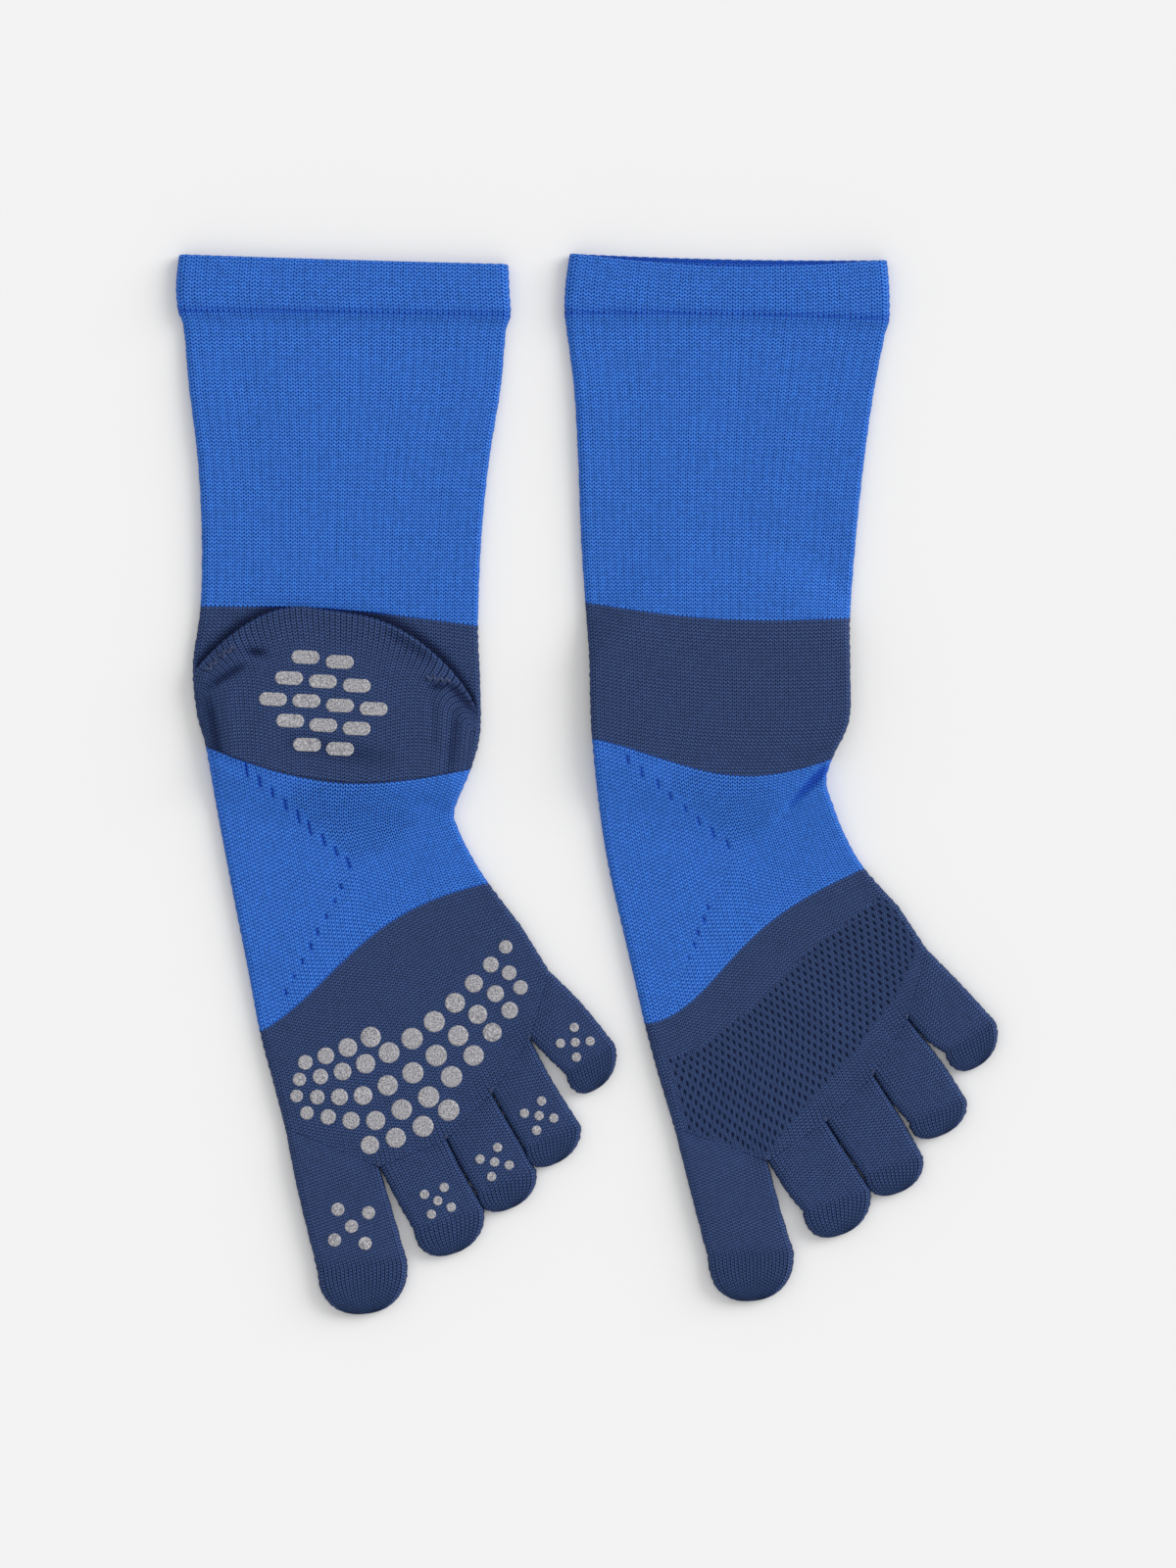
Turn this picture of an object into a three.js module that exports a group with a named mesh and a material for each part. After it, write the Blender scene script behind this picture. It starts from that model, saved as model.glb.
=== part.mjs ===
// A pair of knitted toe socks that lie flat side by side, toes towards -Y, cuffs towards +Y.
// The right foot's sock lies on the left with its sole up and its heel pocket folded up over the leg.
// The left foot's sock lies on the right with its instep up and its heel pocket folded beneath it.
// Millimetres, +Z up. The floor that the socks lie on is z = 0.
import * as THREE from "three";

// Cloth
const CLOTH = 1.3; // thickness of one knitted wall
const AIR = 0.6; // air between the two walls of a flat sock
const FLAT = 2 * CLOTH + AIR; // thickness of a sock that lies flat
const SEAM = 0.3; // clearance where one stretch of knitting meets the next
const BLUE = "#2b66ce";
const NAVY = "#24386b";
const YARN_ROUGHNESS = 0.85;

// Shift that brings the middle of the pair's box to the origin
const CENTRE_X = 0.31;
const CENTRE_Y = 0.21;

// Heel pocket, whose two layers lie folded on each other
const POCKET = 2.7; // thickness of the folded pocket
const POCKET_SIDE = 1.4; // thickness of it where it runs out at the sides
const POCKET_TAPER = 11; // breadth over which it thins towards each side
const DRAPE = 8; // breadth over which a wall comes down from the pocket to the rest of the sock
const DRAPE_START = 4.5; // how far past the pocket's edge a wall stays level before it comes down

// Fineness of the rings
const COLUMNS_PER_TOE = 3; // facets across each toe, and so across a fifth of the forefoot
const TURN_STEPS = 3; // facets round each folded edge
const TIP_STEPS = [0.38, 0.66, 0.86, 0.96]; // rings in a toe's round end, as shares of its length
const TIP_POWER = 2.3; // bluntness of a toe's end in plan: 2 is an ellipse
const TOE_RINGS = [0, 0.5, 1, 1.5, 2]; // rings between a toe's root, its middle and its round end
const RINGS = { cuff: 4, leg: 10, ankle_band: 7, arch: 8, forefoot: 6 }; // rings along each stretch
const COURSE_STEP = 0.05; // part of a course over which the tube's direction is taken
const POCKET_SECTIONS = [
  0.012, 0.05, 0.1, 0.16, 0.23, 0.31, 0.42, 0.54, 0.66, 0.75, 0.82, 0.88, 0.94, 0.988,
]; // shares of a heel pocket's breadth where its sections stand
const POCKET_ROWS = [0.35, 0.7]; // shares of its length where a section's flat faces are divided
const POCKET_END = 0.06; // share of its breadth over which it rounds off at each side
const POCKET_END_START = 0.35; // how thick it is at the very side, before easing

// Turns rows of numbers into rows with named columns.
function table(columns, rows) {
  const names = columns.split(" ");
  return Object.entries(rows).map(([at, numbers]) => {
    const pairs = names.map((name, i) => [name, numbers[i]]);
    return { at, ...Object.fromEntries(pairs) };
  });
}

// One row for each course of knitting where the outline turns, from the rim to the forefoot.
// left and right are the folded edges, sag is how far the upper face's course bends towards the toes
// between them, under is the same for the lower face, lean puts the deepest point to the right of
// the middle, thick is the flat sock's thickness there, and air is what lies between its walls.
const COURSE = "leftX leftY rightX rightY sag under lean thick air";

// Where the toe pockets start: the ends of the toe roots, from the outer end of the big toe's.
const ROOT = "x y";

// Each toe's edges halfway down and where its end starts to round, and its tip.
const TOE = "midLX midLY midRX midRY endLX endLY endRX endRY tipX tipY thick";

// The folded heel pocket: the ends of its fold line, how far the fold arches up between them,
// the shares of the breadth over which it rises on the left and falls on the right, and its foot.
const HEEL = "leftX leftY rightX rightY arch rise fall footLX footLY footRX footRY footSag";

// Creases in the upper face, as soft troughs: start, end, half-width and depth. A ridge is negative.
const CREASE = "x0 y0 x1 y1 breadth depth";

const RIGHT_SOCK = {
  name: "right_sock",
  heelOnTop: true,
  courses: table(COURSE, {
    rim: [-116.8, 150.6, -22.7, 147.8, 0.2, 0.0, 1, 4.4, 1.5],
    welt: [-117.6, 142.2, -22.4, 140.6, 0.0, 0.0, 1, 4.4, 1.1],
    weltFoot: [-117.0, 135.0, -22.1, 133.8, -0.3, 0.0, 1, 4.1, 0.7],
    underWelt: [-115.4, 129.9, -23.5, 128.8, -0.4, 0.0, 1, 3.1, 0.6],
    upperLeg: [-114.0, 114.2, -24.9, 113.4, -0.5, 0.0, 1, 3.3, 0.6],
    midLeg: [-111.4, 92.4, -28.3, 91.8, -0.8, 0.0, 1, 3.3, 0.6],
    lowerLeg: [-110.3, 71.4, -30.5, 69.4, -1.2, 0.0, 1, 3.2, 0.6],
    bandTop: [-110.6, 51.0, -31.4, 45.4, -1.7, 0.0, 1, 3.2, 0.6],
    bandUpper: [-112.8, 34.2, -30.8, 29.4, 0.0, 0.0, 1, 3.2, 0.6],
    bandLower: [-111.7, 20.2, -30.8, 14.6, 3.0, 2.0, 1, 3.2, 0.6],
    bandFoot: [-109.2, 10.9, -34.2, 1.1, 4.6, 4.0, 1, 3.2, 0.6],
    archTop: [-106.1, -6.2, -38.1, -7.3, 4.0, 4.0, 1, 3.2, 0.6],
    archMiddle: [-102.2, -27.2, -37.0, -12.9, 2.0, 2.0, 1, 3.2, 0.6],
    archLower: [-98.0, -48.2, -33.6, -19.9, -1.5, -1.5, 1.2, 3.2, 0.6],
    foreTop: [-93.8, -70.3, -28.6, -28.0, -5.0, -5.0, 1.45, 3.2, 0.6],
    foreMiddle: [-90.2, -84.0, -19.0, -40.6, 10.7, 10.7, 0.85, 3.4, 0.6],
  }),
  roots: table(ROOT, {
    outer: [-86.5, -98.0],
    firstGap: [-59.6, -109.2],
    secondGap: [-40.3, -101.4],
    thirdGap: [-27.4, -88.2],
    fourthGap: [-16.5, -72.8],
    inner: [-11.2, -53.2],
  }),
  toes: table(TOE, {
    toe_1: [-82.9, -116.2, -55.7, -122.1, -77.3, -138.9, -51.5, -136.6, -63.8, -151.3, 3.8],
    toe_2: [-54.6, -119.0, -35.1, -111.7, -49.8, -127.4, -29.7, -121.0, -38.4, -134.1, 3.6],
    toe_3: [-35.8, -109.8, -21.7, -98.3, -30.5, -117.0, -14.8, -110.3, -22.1, -121.2, 3.5],
    toe_4: [-22.4, -96.3, -10.1, -84.7, -17.2, -104.3, -2.0, -97.7, -9.5, -108.5, 3.5],
    toe_5: [-11.2, -78.4, -1.7, -62.7, -6.4, -82.9, 7.8, -74.5, 2.5, -87.1, 3.5],
  }),
  heel: table(HEEL, {
    pocket: [-113.0, 30.8, -31.2, 17.9, 25.0, 0.32, 0.3, -109.4, 10.9, -34.0, 1.1, 4.6],
  })[0],
  creases: table(CREASE, {
    leftGore: [-112, 30, -99, 41, 1.6, 0.35],
    rightGore: [-45, 32, -31, 20, 1.8, 0.35],
    notch: [-39, -8, -58, -3, 2.6, 0.45],
    ball: [-60, -62, -34, -78, 5.0, -0.35],
    outerBall: [-88, -86, -66, -90, 4.0, -0.3],
    calf: [-100, 118, -92, 70, 6.0, 0.25],
    calfRight: [-42, 112, -48, 66, 7.0, 0.25],
  }),
};

const LEFT_SOCK = {
  name: "left_sock",
  heelOnTop: false,
  courses: table(COURSE, {
    rim: [-5.3, 150.9, 85.4, 149.0, 2.4, 0.9, 1, 4.6, 1.7],
    welt: [-6.4, 142.8, 86.0, 141.4, 0.8, 0.3, 1, 4.4, 1.1],
    weltFoot: [-6.7, 134.4, 86.0, 132.7, -0.6, 0.0, 1, 4.1, 0.7],
    underWelt: [-5.9, 128.2, 84.6, 127.4, -0.6, 0.0, 1, 3.1, 0.6],
    upperLeg: [-3.9, 112.0, 81.5, 111.4, 0.0, 0.0, 1, 3.3, 0.6],
    midLeg: [-2.8, 92.4, 78.7, 91.3, 0.4, 0.0, 1, 3.3, 0.6],
    lowerLeg: [-2.0, 70.6, 76.4, 69.2, 1.4, 0.5, 1, 3.2, 0.6],
    bandTop: [-0.8, 52.1, 74.8, 47.6, 2.5, 1.0, 1, 3.2, 0.6],
    bandUpper: [0.3, 36.4, 74.8, 33.0, 4.0, 2.0, 1.1, 3.2, 0.6],
    bandLower: [0.6, 23.8, 74.5, 18.2, 6.0, 3.0, 1.2, 3.2, 0.6],
    bandFoot: [1.1, 13.2, 69.7, 7.3, 7.0, 4.0, 1.35, 3.2, 0.6],
    archTop: [2.8, -3.4, 68.0, 0.6, 5.5, 4.0, 1.3, 3.2, 0.6],
    archMiddle: [5.6, -22.4, 70.0, -6.2, 3.0, 2.0, 1.2, 3.2, 0.6],
    archLower: [10.4, -43.4, 73.4, -14.6, 0.5, 0.5, 1.1, 3.2, 0.6],
    foreTop: [16.0, -67.8, 78.7, -23.8, -1.4, -1.4, 1.2, 3.2, 0.6],
    foreMiddle: [20.0, -82.9, 88.7, -35.0, 11.0, 11.0, 0.75, 3.4, 0.6],
  }),
  roots: table(ROOT, {
    outer: [24.6, -98.0],
    firstGap: [51.2, -107.5],
    secondGap: [68.0, -96.3],
    thirdGap: [81.5, -82.9],
    fourthGap: [91.3, -66.9],
    inner: [96.6, -47.0],
  }),
  toes: table(TOE, {
    toe_1: [29.0, -115.5, 54.9, -121.1, 34.3, -135.8, 58.8, -133.7, 46.9, -147.6, 3.8],
    toe_2: [56.7, -116.5, 74.3, -106.1, 61.3, -122.1, 80.8, -115.6, 72.1, -128.8, 3.6],
    toe_3: [73.8, -104.0, 88.6, -94.1, 79.4, -112.3, 95.6, -106.4, 88.5, -116.8, 3.5],
    toe_4: [86.9, -90.3, 100.9, -79.1, 92.4, -96.6, 108.1, -90.3, 100.8, -100.4, 3.5],
    toe_5: [96.9, -73.4, 106.8, -57.4, 101.8, -76.7, 116.5, -68.0, 111.4, -80.6, 3.5],
  }),
  heel: table(HEEL, {
    pocket: [0.9, 28.0, 76.0, 28.0, 21.5, 0.32, 0.3, 1.8, 9.8, 73.0, 11.2, 5.0],
  })[0],
  creases: table(CREASE, {
    notch: [68, 6, 50, -6, 2.4, 0.45],
    underNotch: [66, -4, 48, -14, 2.8, 0.3],
    ankleLeft: [2, 44, 16, 36, 3.0, 0.25],
    ball: [50, -60, 80, -72, 5.0, -0.3],
    calf: [12, 116, 18, 66, 7.0, 0.25],
    calfRight: [66, 112, 62, 64, 6.0, 0.25],
  }),
};

const clamp = THREE.MathUtils.clamp;
const lerp = THREE.MathUtils.lerp;
const ease = (t) => THREE.MathUtils.smoothstep(t, 0, 1);

// Value of a column between rows, on a smooth curve through all of them.
function spline(rows, column, s) {
  const i = clamp(Math.floor(s), 0, rows.length - 2);
  const f = s - i;
  const at = (k) => rows[clamp(k, 0, rows.length - 1)][column];
  const [a, b, c, d] = [at(i - 1), at(i), at(i + 1), at(i + 2)];
  return b + 0.5 * f * (c - a + f * (2 * a - 5 * b + 4 * c - d + f * (3 * (b - c) + d - a)));
}

// Shares of the sock's breadth at which the toe roots meet.
function rootShares(sock) {
  const far = [0];
  sock.roots.slice(1).forEach((end, i) => {
    far.push(far[i] + Math.hypot(end.x - sock.roots[i].x, end.y - sock.roots[i].y));
  });
  return far.map((reach) => reach / far[far.length - 1]);
}

// Point on the zigzag line where the toe pockets start.
function rootPoint(sock, u) {
  const shares = rootShares(sock);
  const i = clamp(shares.findIndex((share) => share > u) - 1, 0, shares.length - 2);
  const k = u >= 1 ? shares.length - 2 : i;
  const f = (u - shares[k]) / (shares[k + 1] - shares[k]);
  const [a, b] = [sock.roots[k], sock.roots[k + 1]];
  return new THREE.Vector2(lerp(a.x, b.x, f), lerp(a.y, b.y, f));
}

// Point at share u along course s. side is 1 on the upper face and 0 on the lower one.
// Courses past the table's last row fan out over the forefoot to the toe roots.
function coursePoint(sock, s, u, side) {
  const last = sock.courses.length - 1;
  if (s > last) {
    const start = coursePoint(sock, last, u, side);
    return start.lerp(rootPoint(sock, u), s - last);
  }
  const value = (column) => spline(sock.courses, column, s);
  const left = new THREE.Vector2(value("leftX"), value("leftY"));
  const chord = new THREE.Vector2(value("rightX"), value("rightY")).sub(left);
  const towardsToes = new THREE.Vector2(chord.y, -chord.x).normalize();
  const sag = lerp(value("under"), value("sag"), side);
  const bend = Math.sin(Math.PI * Math.pow(clamp(u, 0, 1), value("lean")));
  return left.addScaledVector(chord, u).addScaledVector(towardsToes, sag * bend);
}

// The heel pocket's fold line, and its foot, at share u of its breadth.
function heelFold(heel, u) {
  const fall = Math.sin((Math.PI / 2) * clamp((1 - u) / heel.fall, 0, 1));
  const arch = heel.arch * ease(u / heel.rise) * fall;
  return new THREE.Vector2(
    lerp(heel.leftX, heel.rightX, u),
    lerp(heel.leftY, heel.rightY, u) + arch,
  );
}

function heelFoot(heel, u) {
  const sag = heel.footSag * Math.sin(Math.PI * u);
  return new THREE.Vector2(
    lerp(heel.footLX, heel.footRX, u),
    lerp(heel.footLY, heel.footRY, u) - sag,
  );
}

// Thickness of the folded pocket at share u of its breadth.
function pocketThickness(heel, u) {
  const breadth = Math.abs(heel.rightX - heel.leftX);
  const fromSide = Math.min(u, 1 - u) * breadth;
  return lerp(POCKET_SIDE, POCKET, ease(fromSide / POCKET_TAPER));
}

// Share of the heel pocket's breadth at a place across it.
const heelShare = (heel, x) => clamp((x - heel.leftX) / (heel.rightX - heel.leftX), 0, 1);

// How far the whole sock is lifted off the floor by a pocket beneath it.
function liftOver(sock, x, y) {
  if (sock.heelOnTop) return 0;
  const u = heelShare(sock.heel, x);
  const above = heelFold(sock.heel, u).y + DRAPE_START + DRAPE - y;
  const below = y - heelFoot(sock.heel, u).y + DRAPE_START + DRAPE;
  return (POCKET + SEAM) * ease(above / DRAPE) * ease(below / DRAPE);
}

// How far the arch's upper wall climbs to meet a pocket that lies on top.
function climbTo(sock, piece, x, y) {
  if (!sock.heelOnTop || piece !== "arch") return 0;
  const u = heelShare(sock.heel, x);
  const foot = heelFoot(sock.heel, u).y;
  const level = SEAM + pocketThickness(sock.heel, u);
  const fromSide = Math.min(u, 1 - u) * Math.abs(sock.heel.rightX - sock.heel.leftX);
  return level * ease((y - foot + 2 * DRAPE) / (2 * DRAPE)) * ease(fromSide / DRAPE);
}

// Depth of the creases at a point of the upper face.
function creaseDepth(sock, x, y) {
  let depth = 0;
  for (const fold of sock.creases) {
    const along = new THREE.Vector2(fold.x1 - fold.x0, fold.y1 - fold.y0);
    const from = new THREE.Vector2(x - fold.x0, y - fold.y0);
    const t = clamp(from.dot(along) / along.lengthSq(), 0, 1);
    const off = from.distanceTo(along.clone().multiplyScalar(t));
    const fade = ease(4 * t) * 0.5 + ease(4 * (1 - t)) * 0.5;
    depth += fold.depth * fade * Math.exp(-((off / fold.breadth) ** 2));
  }
  return depth;
}

// Shares of the breadth where the forefoot's facets run, so that a facet's edge meets each gap.
function columnShares(sock) {
  const shares = rootShares(sock);
  const columns = [0];
  shares.slice(1).forEach((share, i) => {
    for (let k = 1; k <= COLUMNS_PER_TOE; k += 1) {
      columns.push(lerp(shares[i], share, k / COLUMNS_PER_TOE));
    }
  });
  return columns;
}

// Outline of a flat tube's section as places across it and heights from its mid-plane: the upper
// face from left to right, the right fold, the lower face back, and the left fold.
function sectionPlaces(shares, breadth, half, inset) {
  const turn = inset + half;
  const across = shares.map((share) => clamp(share * breadth, turn, breadth - turn));
  const upper = across.map((a) => [a, half]);
  const lower = across.map((a) => [a, -half]).reverse();
  const fold = (centre, way) =>
    Array.from({ length: TURN_STEPS - 1 }, (_, k) => {
      const angle = (Math.PI * (k + 1)) / TURN_STEPS;
      return [centre + way * half * Math.sin(angle), way * half * Math.cos(angle)];
    });
  return [...upper, ...fold(breadth - turn, 1), ...lower, ...fold(turn, -1)];
}

// One ring of a sock's tube at course s, moved push towards the toes. inner is 1 inside the cloth.
function tubeRing(sock, piece, s, push, inner) {
  const row = Math.min(s, sock.courses.length - 1);
  const thick = spline(sock.courses, "thick", row);
  const cloth = (thick - spline(sock.courses, "air", row)) / 2;
  const half = thick / 2 - inner * cloth;
  const breadth = coursePoint(sock, s, 0, 1).distanceTo(coursePoint(sock, s, 1, 1));
  const places = sectionPlaces(columnShares(sock), breadth, half, inner * cloth);
  const before = Math.max(s - COURSE_STEP, 0);
  const after = Math.min(s + COURSE_STEP, sock.courses.length);
  return places.map(([across, height]) => {
    const u = across / breadth;
    const side = (height / half + 1) / 2;
    const way = coursePoint(sock, after, u, side).sub(coursePoint(sock, before, u, side));
    const point = coursePoint(sock, s, u, side).addScaledVector(way.normalize(), push);
    const rise = climbTo(sock, piece, point.x, point.y) * side;
    const crease = inner ? 0 : creaseDepth(sock, point.x, point.y) * side;
    const z = thick / 2 + height + rise - crease + liftOver(sock, point.x, point.y);
    return new THREE.Vector3(point.x, point.y, z);
  });
}

// Triangles between rings of equal length. flip turns them to face the other way.
function bandFaces(faces, rings, count, first, flip) {
  for (let i = 0; i < rings - 1; i += 1) {
    for (let j = 0; j < count; j += 1) {
      const a = first + i * count + j;
      const b = first + i * count + ((j + 1) % count);
      const [d, c] = [a + count, b + count];
      if (flip) faces.push(a, c, d, a, b, c);
      else faces.push(a, d, c, a, c, b);
    }
  }
}

// Closes the end of a wall: a rim between the outer and the inner ring.
function rimFaces(faces, outer, inner, count, flip) {
  for (let j = 0; j < count; j += 1) {
    const k = (j + 1) % count;
    const [a, b, c, d] = [outer + j, outer + k, inner + k, inner + j];
    if (flip) faces.push(a, c, b, a, d, c);
    else faces.push(a, b, c, a, c, d);
  }
}

function tipFaces(faces, ring, tip, count, flip) {
  for (let j = 0; j < count; j += 1) {
    const k = (j + 1) % count;
    if (flip) faces.push(ring + j, ring + k, tip);
    else faces.push(ring + k, ring + j, tip);
  }
}

function geometryOf(points, faces) {
  const geometry = new THREE.BufferGeometry().setFromPoints(points);
  geometry.setIndex(faces);
  geometry.computeVertexNormals();
  return geometry;
}

// A wall of cloth: an outer and an inner set of rings joined at their open ends. With tips, the far
// end is closed.
function wallGeometry(outer, inner, tips) {
  const count = outer[0].length;
  const rings = outer.length;
  const points = [...outer.flat(), ...inner.flat()];
  const innerFirst = rings * count;
  const faces = [];
  bandFaces(faces, rings, count, 0, false);
  bandFaces(faces, rings, count, innerFirst, true);
  rimFaces(faces, 0, innerFirst, count, false);
  const last = (rings - 1) * count;
  if (tips) {
    points.push(...tips);
    tipFaces(faces, last, points.length - 2, count, false);
    tipFaces(faces, innerFirst + last, points.length - 1, count, true);
  } else {
    rimFaces(faces, last, innerFirst + last, count, true);
  }
  return geometryOf(points, faces);
}

// A solid through rings, closed at both ends.
function loftGeometry(rings) {
  const count = rings[0].length;
  const middle = (ring) =>
    ring.reduce((sum, p) => sum.add(p), new THREE.Vector3()).divideScalar(count);
  const points = [...rings.flat(), middle(rings[0]), middle(rings[rings.length - 1])];
  const faces = [];
  bandFaces(faces, rings.length, count, 0, false);
  tipFaces(faces, 0, points.length - 2, count, true);
  tipFaces(faces, (rings.length - 1) * count, points.length - 1, count, false);
  return geometryOf(points, faces);
}

function clothMesh(name, geometry, colour) {
  const material = new THREE.MeshStandardMaterial({
    color: colour,
    roughness: YARN_ROUGHNESS,
    metalness: 0,
  });
  const mesh = new THREE.Mesh(geometry, material);
  mesh.name = name;
  return mesh;
}

// One stretch of the tube from course s0 to course s1, with rings evenly spaced between.
function tubePiece(sock, piece, s0, s1, colour) {
  const rings = RINGS[piece];
  const walls = [0, 1].map((inner) =>
    Array.from({ length: rings + 1 }, (_, i) => {
      const s = lerp(s0, s1, i / rings);
      const startsAtRim = i === 0 && s0 === 0;
      const ends = (i === 0 && !startsAtRim ? 0.5 : 0) - (i === rings ? 0.5 : 0);
      return tubeRing(sock, piece, s, ends * SEAM, inner);
    }),
  );
  return clothMesh(`${sock.name}_${piece}`, wallGeometry(...walls), colour);
}

// The folded heel pocket, as one rounded solid lofted from side to side.
function heelPiece(sock) {
  const { heel } = sock;
  const floor = sock.heelOnTop ? FLAT + SEAM : 0;
  const rings = POCKET_SECTIONS.map((u) => {
    const rounding = ease(POCKET_END_START + Math.min(u, 1 - u) / POCKET_END);
    const thick = pocketThickness(heel, u) * rounding;
    const [fold, foot] = [heelFold(heel, u), heelFoot(heel, u)];
    const length = fold.distanceTo(foot);
    const down = foot.clone().sub(fold).divideScalar(length);
    const at = (reach, z) => {
      const place = fold.clone().addScaledVector(down, reach);
      return new THREE.Vector3(place.x, place.y, floor + z);
    };
    const half = thick / 2;
    const turn = Array.from({ length: TURN_STEPS }, (_, k) => {
      const angle = (Math.PI * (k + 0.5)) / TURN_STEPS;
      return at(half - half * Math.sin(angle), half - half * Math.cos(angle));
    });
    const rows = [thick, ...POCKET_ROWS.map((share) => share * length), length - SEAM];
    const upper = rows.map((reach) => at(reach, thick));
    const lower = rows.map((reach) => at(reach, 0)).reverse();
    return [...turn, ...upper, ...lower].reverse();
  });
  return clothMesh(`${sock.name}_heel_pocket`, loftGeometry(rings), NAVY);
}

// The left and right ends of a toe's section: 0 at its root, 1 halfway down, 2 at its round end.
function toeEdges(sock, index, s) {
  const toe = sock.toes[index];
  const [rootL, rootR] = [sock.roots[index], sock.roots[index + 1]];
  const rows = [
    { lx: rootL.x, ly: rootL.y, rx: rootR.x, ry: rootR.y },
    { lx: toe.midLX, ly: toe.midLY, rx: toe.midRX, ry: toe.midRY },
    { lx: toe.endLX, ly: toe.endLY, rx: toe.endRX, ry: toe.endRY },
  ];
  const value = (column) => spline(rows, column, s);
  return [new THREE.Vector2(value("lx"), value("ly")), new THREE.Vector2(value("rx"), value("ry"))];
}

// A toe's ring between two points: half is half its thickness, inset how far it lies inside the
// outline, and middle the height of its mid-plane.
function toeRing(left, right, half, inset, middle) {
  const breadth = left.distanceTo(right);
  const shares = Array.from({ length: COLUMNS_PER_TOE + 1 }, (_, k) => k / COLUMNS_PER_TOE);
  return sectionPlaces(shares, breadth, half, inset).map(([across, height]) => {
    const point = left.clone().lerp(right, across / breadth);
    return new THREE.Vector3(point.x, point.y, middle + height);
  });
}

// One toe pocket, from its root to its closed round end.
function toePiece(sock, index) {
  const toe = sock.toes[index];
  const tip = new THREE.Vector2(toe.tipX, toe.tipY);
  const [endL, endR] = toeEdges(sock, index, 2);
  const endMiddle = endL.clone().add(endR).divideScalar(2);
  const halfEnd = endR.clone().sub(endL).divideScalar(2);
  const length = tip.distanceTo(endMiddle);
  const away = tip.clone().sub(endMiddle).divideScalar(length);
  const wall = (cloth) => {
    const inset = cloth + SEAM / 2;
    const straight = TOE_RINGS.map((s) => {
      const [left, right] = toeEdges(sock, index, s);
      const thick = lerp(FLAT, toe.thick, ease(s));
      const push = s === 0 ? SEAM : 0;
      left.addScaledVector(away, push);
      right.addScaledVector(away, push);
      return toeRing(left, right, thick / 2 - cloth, inset, thick / 2);
    });
    const round = TIP_STEPS.map((q) => {
      const share = Math.pow(1 - Math.pow(q, TIP_POWER), 1 / TIP_POWER);
      const half = (toe.thick / 2 - cloth) * Math.sqrt(1 - q ** 4);
      const middle = endMiddle.clone().addScaledVector(away, q * (length - cloth));
      const left = middle.clone().addScaledVector(halfEnd, -share);
      const right = middle.clone().addScaledVector(halfEnd, share);
      return toeRing(left, right, half, inset * share, toe.thick / 2);
    });
    return [...straight, ...round];
  };
  const tips = [0, CLOTH].map((cloth) => {
    const end = endMiddle.clone().addScaledVector(away, length - cloth);
    return new THREE.Vector3(end.x, end.y, toe.thick / 2);
  });
  return clothMesh(`${sock.name}_${toe.at}`, wallGeometry(wall(0), wall(CLOTH), tips), NAVY);
}

// All pieces of one sock, from the cuff to the toes.
function sockGroup(sock) {
  const group = new THREE.Group();
  group.name = sock.name;
  const at = (name) => sock.courses.findIndex((row) => row.at === name);
  group.add(
    tubePiece(sock, "cuff", 0, at("weltFoot"), BLUE),
    tubePiece(sock, "leg", at("weltFoot"), at("bandTop"), BLUE),
    tubePiece(sock, "ankle_band", at("bandTop"), at("bandFoot"), NAVY),
    heelPiece(sock),
    tubePiece(sock, "arch", at("bandFoot"), at("foreTop"), BLUE),
    tubePiece(sock, "forefoot", at("foreTop"), sock.courses.length, NAVY),
  );
  sock.toes.forEach((toe, index) => group.add(toePiece(sock, index)));
  return group;
}

const pair = new THREE.Group();
pair.name = "toe_socks";
pair.position.set(CENTRE_X, CENTRE_Y, 0);
pair.add(sockGroup(RIGHT_SOCK), sockGroup(LEFT_SOCK));

export default pair;
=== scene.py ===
"""A pair of knitted toe socks that lie flat side by side, toes towards -Y, cuffs towards +Y.

The right foot's sock lies on the left with its sole up and its heel pocket folded up over the leg.
The left foot's sock lies on the right with its instep up and its heel pocket folded beneath it.
The tables and functions here work in millimetres, and a finished mesh is in metres. Each stretch of
knitting is one closed wall of cloth: its faces carry the folds, gathers and pits of the knitting,
and its material draws the stitches themselves from a UV map that counts wales and courses.
"""

import math
from collections import namedtuple
from types import SimpleNamespace

import bpy
import numpy as np
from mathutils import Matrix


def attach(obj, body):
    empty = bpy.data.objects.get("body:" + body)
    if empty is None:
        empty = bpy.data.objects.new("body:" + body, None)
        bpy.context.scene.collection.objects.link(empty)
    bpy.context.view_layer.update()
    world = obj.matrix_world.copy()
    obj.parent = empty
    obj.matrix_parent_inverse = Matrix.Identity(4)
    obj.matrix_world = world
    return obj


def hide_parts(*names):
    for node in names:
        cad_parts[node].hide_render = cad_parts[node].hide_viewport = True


bl_info = {
    "name": "Toe Socks",
    "version": (1, 0, 0),
    "blender": (4, 5, 0),
    "location": "3D View > Sidebar > Toe Socks",
    "description": "Knits a pair of flat toe socks around their packed model",
    "category": "Object",
}

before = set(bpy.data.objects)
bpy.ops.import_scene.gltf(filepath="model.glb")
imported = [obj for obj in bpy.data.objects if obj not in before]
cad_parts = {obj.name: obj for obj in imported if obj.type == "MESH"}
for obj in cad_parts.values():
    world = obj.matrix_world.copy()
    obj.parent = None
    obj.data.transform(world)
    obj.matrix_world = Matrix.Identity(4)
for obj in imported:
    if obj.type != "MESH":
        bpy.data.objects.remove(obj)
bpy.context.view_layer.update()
MM = 0.001
TO_MM = 1000

# Where the middle of the pair's box lies from the tables' own zero
CENTRE = np.array([0.31, 0.21])

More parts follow.
